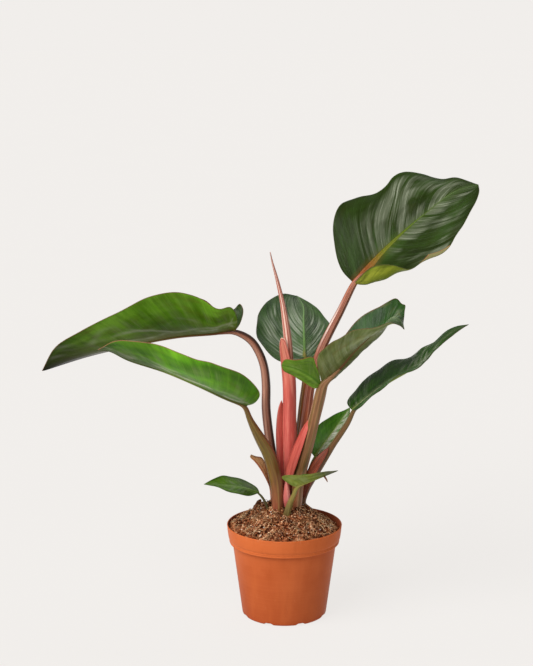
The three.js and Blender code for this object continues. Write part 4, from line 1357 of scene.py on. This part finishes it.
def soil_height(x, y):
    """The mound that the solid has, with its heaps, in millimetres."""
    radius = np.hypot(x, y)
    slope = POT["rim_radius"] - SOIL["plateau_radius"]
    away = np.clip((radius - SOIL["plateau_radius"]) / slope, 0, 1)
    mound = SOIL["edge"] + (SOIL["plateau"] - SOIL["edge"]) * (1 - away) ** SOIL["fall"]
    dip = SOIL["back_dip"] * away * np.maximum(0, (x + y) / (radius + 1))
    lumps = np.sin(x / 5.3 + 1) * np.cos(y / 6.1) + 0.6 * np.sin((x + y) / 3.7)
    level = mound - dip + SOIL["lump"] * lumps * (1 - away**4)
    for middle_x, middle_y, rise, reach in HEAPS:
        level = level + rise * np.exp(-((x - middle_x) ** 2 + (y - middle_y) ** 2) / reach**2)
    return level


def rings_at(rows, angles):
    """Points round the middle at radii and heights, one ring after the other."""
    return [(radius * math.cos(a), radius * math.sin(a), height) for radius, height in rows for a in angles]


def make_soil(rings=110, spokes=260):
    """The top of the coir, and a plain underside that follows the pot."""
    wall = POT["wall"]
    inner_slope = (POT["rim_radius"] - POT["band_foot"]) / POT["band_height"]
    band_start = POT["height"] - POT["band_height"]
    reach = POT["band_foot"] + inner_slope * (SOIL["edge"] - band_start) - wall - SOIL["gap"]
    radii = reach * np.linspace(0, 1, rings + 1)[1:]
    angles = np.linspace(0, 2 * np.pi, spokes, endpoint=False)
    x, y = np.outer(radii, np.cos(angles)), np.outer(radii, np.sin(angles))
    spots = np.stack([x, y, 0 * x], axis=-1)
    clods, crumbs, grit = noise_at(spots / 7.0), noise_at(spots / 2.6 + 30), noise_at(spots / 1.2 + 60)
    inward = 1 - smooth_step(np.hypot(x, y), reach - 3, reach)
    rise = (2.0 * clods + 1.3 * crumbs + 0.7 * grit) * (0.35 + 0.65 * inward)
    top = np.stack([x, y, soil_height(x, y) + rise - 0.6], axis=-1).reshape(-1, 3)
    under = POT["floor"] + SOIL["gap"]
    # The side goes down inside the rim band, over the step at its foot and down the body
    below = [
        (reach, 108.0), (POT["band_foot"] - wall - 0.3, 101.0), (POT["body_top"] - wall - 0.3, 99.3),
        (POT["heel_radius"] - wall - 0.3, under),
    ]
    points = [(0, 0, float(soil_height(0.0, 0.0))), *top, *rings_at(below, angles), (0, 0, under)]
    # More lift, and so a lighter colour, where the coir stands out: painted light on tops, painted shade in
    # hollows.
    lift = [0.5, *(0.5 + 0.22 * clods + 0.26 * crumbs + 0.18 * grit).ravel()]
    lift += [0.2] * (len(points) - len(lift))
    ring_count = rings + len(below)
    faces = fan_faces(0, 1, spokes) + ring_faces(1, ring_count, spokes, flip=True)
    faces += fan_faces(len(points) - 1, 1 + (ring_count - 1) * spokes, spokes, flip=True)
    values = dict(lift=np.array(lift))
    piece("coir_bed", points, faces, ["soil"], "soil", [soil_skin("coir", COIR)], values=values)


def spot_on_soil(chance, reach):
    """A random place on the mound, clear of the rim."""
    radius = reach * math.sqrt(chance.random())
    angle = chance.uniform(0, 2 * math.pi)
    x, y = radius * math.cos(angle), radius * math.sin(angle)
    return x, y, float(soil_height(x, y))


class Litter:
    """Many small things that become one piece."""

    def __init__(self, seed):
        self.chance = random.Random(seed)
        self.points, self.faces, self.lift = [], [], []

    def finish(self, name, stops, rough=0.92):
        skin = soil_skin(name + "_skin", stops, rough)
        values = dict(lift=np.array(self.lift))
        piece(name, self.points, self.faces, (), "soil", [skin], values=values)

    def crumb(self, place, size, flat):
        """A rough lump of three rings of six corners between two tips."""
        chance, start = self.chance, len(self.points)
        at_x, at_y, at_z = place
        turn = chance.uniform(0, math.pi)
        cos, sin = math.cos(turn), math.sin(turn)
        for height, reach in ((-0.8, 0.55), (-0.1, 1.0), (0.75, 0.6)):
            for n in range(6):
                angle = 2 * math.pi * n / 6 + chance.uniform(-0.3, 0.3)
                near = size * reach * chance.uniform(0.75, 1.15)
                x, y = near * math.cos(angle) * 1.3, near * math.sin(angle)
                z = size * flat * height * chance.uniform(0.8, 1.2)
                self.points.append([at_x + x * cos - y * sin, at_y + x * sin + y * cos, at_z + z])
        self.points.append([at_x, at_y, at_z - size * flat])
        self.points.append([at_x, at_y, at_z + size * flat * 1.05])
        self.lift += [chance.uniform(0.2, 0.95)] * 20
        self.faces += ring_faces(start, 3, 6)
        self.faces += fan_faces(start + 18, start, 6, flip=True) + fan_faces(start + 19, start + 12, 6)

    def fibre(self, place, length, thickness, curl, rise):
        """A curly fibre that lies on the mound, a thin three-sided tube."""
        chance, start = self.chance, len(self.points)
        steps = max(8, int(length / FIBRE_STEP))
        heading = chance.uniform(0, 2 * math.pi)
        turn = chance.uniform(-0.25, 0.25) * curl
        phase = chance.uniform(0, 6)
        shade = chance.uniform(0.0, 1.0)
        hop = chance.uniform(0.2, rise)
        x, y, _ = place
        for n in range(steps + 1):
            share = n / steps
            height = float(soil_height(x, y)) + 1.2 + hop * math.sin(math.pi * share) ** 2
            height += 0.5 * math.sin(phase + 2.1 * n)
            thick = thickness * (1 - 0.5 * abs(2 * share - 1) ** 3)
            for k in range(3):
                angle = 2 * math.pi * k / 3
                out, up = thick * math.cos(angle), thick * math.sin(angle)
                self.points.append([x - math.sin(heading) * out, y + math.cos(heading) * out, height + up])
                self.lift.append(shade)
            turn += chance.uniform(-0.22, 0.22) * curl
            turn *= 0.86
            heading += turn
            if math.hypot(x + math.cos(heading), y + math.sin(heading)) > FIBRE_REACH - 1:
                heading += 0.9
            x += FIBRE_STEP * math.cos(heading)
            y += FIBRE_STEP * math.sin(heading)
            if math.hypot(x, y) > FIBRE_REACH:
                x, y = x * FIBRE_REACH / math.hypot(x, y), y * FIBRE_REACH / math.hypot(x, y)
        self.faces += ring_faces(start, steps + 1, 3)
        last = start + 3 * steps
        self.faces += [[start + 2, start + 1, start], [last, last + 1, last + 2]]


def scatter(name, stops, count, sizes, seed, sink=0.2, flat=0.8):
    litter = Litter(seed)
    for _ in range(count):
        x, y, z = spot_on_soil(litter.chance, SCATTER_REACH)
        size = litter.chance.uniform(*sizes)
        litter.crumb((x, y, z - sink + 0.5 * size), size, flat)
    litter.finish(name, stops)


def make_fibres(name, stops, count, lengths, thickness, seed, curl, rise):
    litter = Litter(seed)
    for _ in range(count):
        place = spot_on_soil(litter.chance, FIBRE_REACH - 2)
        thick = litter.chance.uniform(*thickness)
        litter.fibre(place, litter.chance.uniform(*lengths), thick, curl, rise)
    litter.finish(name, stops, 0.8)


def make_scrap(name, slot, points):
    """A rough twisted splinter."""
    def swell(share, turn):
        return 0.32 * np.sin(3 * turn + 5 * share) + 0.15 * np.sin(7 * turn - 12 * share)

    grid, share, turn, _ = sweep(points, 18, 0.8, swell)
    values = dict(lift=0.5 + 0.35 * np.sin(7 * turn - 12 * share).ravel())
    piece(name, *tube_mesh(grid), (), slot, [soil_skin(name + "_skin", WOOD, 0.75)], values=values)


# Pot

def pot_outline():
    """Radius and height from the middle of the underside, round the outside and in, and what is inside."""
    height, band, wall = POT["height"], POT["band_height"], POT["wall"]
    rim, band_foot, body = POT["rim_radius"], POT["band_foot"], POT["body_top"]
    foot, heel, heel_height = POT["foot_radius"], POT["heel_radius"], POT["heel_height"]
    disc, groove, depth = POT["disc_radius"], POT["groove_radius"], POT["groove_depth"]
    start = height - band
    under = [
        (0, 0.0), (disc - 1, 0.0), (disc, 0.6), (disc, depth), (groove, depth), (groove, 0.5),
        (groove + 0.6, 0.0), (foot - 1.8, 0.0), (foot - 0.4, 0.1), (foot + 1.0, 0.6), (heel - 0.6, 1.5),
        (heel - 0.2, 2.6), (heel, heel_height + 0.3),
    ]
    shares = np.linspace(0.02, 0.99, 24)
    side = [(heel + (body - heel) * share, heel_height + (start - heel_height) * share) for share in shares]
    # The step under the band and the two fine lines over it, as what they add to the band's foot
    step = [(body, start - 0.4), (body + 0.5, start - 0.1)]
    lines = [
        (-0.9, 0), (-0.25, 0.35), (0, 1.2), (0.1, 2.0), (-0.2, 2.4), (-0.2, 2.9), (0.25, 3.3), (0.35, 4.1),
        (0.05, 4.5), (0.1, 5.0), (0.6, 5.6),
    ]
    step += [(band_foot + out, start + up) for out, up in lines]
    for share in np.linspace(0.3, 0.86, 8):
        bulge = 0.35 * math.sin(math.pi * share)
        step.append((band_foot + (rim - band_foot) * share + bulge, start + band * share))
    lip = [(-0.15, -1.5), (0, -0.7), (-0.25, -0.15), (-0.7, 0)]
    outside = under + side + step + [(rim + out, height + up) for out, up in lip]
    inside = [(rim - wall + out, height + up) for out, up in ((0.5, 0), (0.1, -0.3), (-0.05, -1.0))]
    for share in np.linspace(0.9, 0.05, 8):
        inside.append((band_foot + (rim - band_foot) * share - wall, start + band * share))
    inside += [(band_foot - wall, start + wall), (body - wall, start), (heel - wall, POT["floor"])]
    return outside + inside + [(0, POT["floor"])], len(outside)


def notch_lift(angle, radius, height):
    """The height of a point of the foot, which the drain notches raise."""
    if height >= POT["notch_height"] or radius <= POT["groove_radius"] - 0.1:
        return height
    turn = math.radians(360 / POT["notches"])
    away = abs(((angle - math.pi / POT["notches"]) + turn / 2) % turn - turn / 2) * radius
    half = POT["notch_width"] / 2
    share = 1 - smooth_step(away, half - 1.2, half + 0.4)
    return height + (POT["notch_height"] - height) * float(share)


def make_pot(spokes=192):
    outline, outer = pot_outline()
    angles = np.linspace(0, 2 * np.pi, spokes, endpoint=False)
    points, inside = [(0, 0, 0.0)], [0.0]
    for number, (radius, height) in enumerate(outline[1:-1], 1):
        for angle in angles:
            lifted = notch_lift(angle, radius, height)
            points.append((radius * math.cos(angle), radius * math.sin(angle), lifted))
            inside.append(1.0 if number >= outer else 0.0)
    points.append((0, 0, POT["floor"]))
    inside.append(1.0)
    rings = len(outline) - 2
    faces = fan_faces(0, 1, spokes, flip=True) + ring_faces(1, rings, spokes)
    faces += fan_faces(len(points) - 1, 1 + (rings - 1) * spokes, spokes)
    values = dict(inside=np.array(inside))
    piece("nursery_pot", points, faces, ["pot"], "pot", [pot_skin()], values=values)


# Camera, floor and light

def make_camera():
    camera = bpy.data.cameras.new("camera")
    camera.lens = CAMERA["lens"]
    camera.sensor_width = CAMERA["sensor"]
    made = place_object("camera", camera)
    made.location = CAMERA["place"]
    made.rotation_euler = (math.radians(90 - CAMERA["dip"]), 0, 0)
    bpy.context.scene.camera = made


def stage_mesh(name, points, faces, material):
    mesh = bpy.data.meshes.new(name)
    mesh.from_pydata(points, [], faces)
    mesh.materials.append(material)
    made = place_object(name, mesh)
    made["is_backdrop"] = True
    return made


def make_floor():
    glow = dict(Emission_Color=colour(FLOOR["shine"]), Emission_Strength=FLOOR["glow"])
    shader = Shader("floor", Specular_IOR_Level=0.0, **glow)
    cloud = shader.noise(shader.position(), 3.0, 2.0)
    base = shader.mix(shader.remap(cloud, 0.3, 0.7), FLOOR["dark"], FLOOR["light"])
    skin = shader.finish(base, shader.remap(cloud, 0.3, 0.7, 0.75, 0.85))
    far = FLOOR["reach"]
    corners = [(-far, -far, 0), (far, -far, 0), (far, far, 0), (-far, far, 0)]
    stage_mesh("floor", corners, [(0, 1, 2, 3)], skin)


def make_backdrop():
    """A round pale wall that closes the floor off. Only the camera sees it, and it lights nothing."""
    glow = dict(Emission_Color=colour(BACKDROP["shine"]), Emission_Strength=1.0)
    skin = Shader("backdrop", Specular_IOR_Level=0.0, **glow).finish((0, 0, 0, 1), 1.0)
    skin.cycles.emission_sampling = "NONE"
    radius, panels = BACKDROP["radius"], BACKDROP["panels"]
    points, faces = [], []
    for n in range(panels):
        turn = 2 * math.pi * n / panels
        x, y = radius * math.cos(turn), radius * math.sin(turn)
        points += [(x, y, BACKDROP["foot"]), (x, y, BACKDROP["height"])]
        low, after = 2 * n, 2 * ((n + 1) % panels)
        faces.append((after, low, low + 1, after + 1))
    made = stage_mesh("backdrop", points, faces, skin)
    for kind in ("diffuse", "glossy", "transmission", "volume_scatter", "shadow"):
        setattr(made, "visible_" + kind, False)


def make_sun(name, azimuth, elevation, strength, spread, tint):
    lamp = bpy.data.lights.new(name, "SUN")
    lamp.energy = strength
    lamp.angle = math.radians(spread)
    lamp.color = tint
    made = place_object(name, lamp)
    turn, rise = math.radians(azimuth), math.radians(elevation)
    toward = Vector((math.sin(turn) * math.cos(rise), -math.cos(turn) * math.cos(rise), math.sin(rise)))
    made.rotation_euler = toward.to_track_quat("Z", "Y").to_euler()
    made.location = toward * 3


def make_light():
    world = bpy.data.worlds.new("world")
    bpy.context.scene.world = world
    world.use_nodes = True
    sky = world.node_tree.nodes["Background"]
    sky.inputs["Color"].default_value = colour(SKY["shine"])
    sky.inputs["Strength"].default_value = SKY["strength"]
    for name, row in SUNS.items():
        make_sun(name, *row)
    bpy.context.scene.view_settings.view_transform = "Standard"


make_camera()
make_floor()
make_backdrop()
make_light()

# Each blade and sheath has its own seed, a place in the noise that is far from the others'
for number, (name, spec) in enumerate(LEAVES.items()):
    changed = dict(spec, change=CHANGES.get(name, {}))
    underside = make_blade(name, changed, 3.1 + 4.7 * number, [name + "_blade"])
    leaf_stalk(name, spec, underside)
make_blade("middle_right_lobe", dict(LOBE, form=LOBE_FORM), 51.3, [])
for number, (name, spec) in enumerate(SHEATHS.items()):
    slot = "dry_sheath" if name == "dry_cataphyll" else "sheath"
    make_sheath(name + "_sheet", spec, SHEATH_LOOKS[name], [name], slot, 1.3 + 5.1 * number)
make_sheath("far_right_wing", WING, SHEATH_LOOKS["wing"], [], "leaf_stalk", 33.7)
make_stalk("rolled_spear", SPEAR, SPEAR_LOOK, ["spear"], "sheath", 48, 2.0, spear_swell)
make_stalk("crown", CROWN, CROWN_LOOK, ["crown_stem"], "stem", 36, 1.5)
make_stalk("crown_bud", BUD, BUD_LOOK, [], "sheath", 24, 1.5)
make_soil()
scatter("crumbs", COIR, 2000, (0.5, 1.9), 11)
scatter("perlite", PERLITE, 60, (0.5, 1.1), 23, sink=-1.2)
make_fibres("coir_fibres", FIBRE, 620, (7, 22), (0.2, 0.42), 5, 1.9, 3.2)
make_fibres("dark_fibres", BARK, 260, (8, 20), (0.22, 0.5), 8, 1.2, 2.6)
for name, (slot, points) in SCRAPS.items():
    make_scrap(name, slot, points)
make_pot()

boxes = {"cad": cad_box, "visual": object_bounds()}
{key: [list(corner) for corner in box] for key, box in boxes.items()}
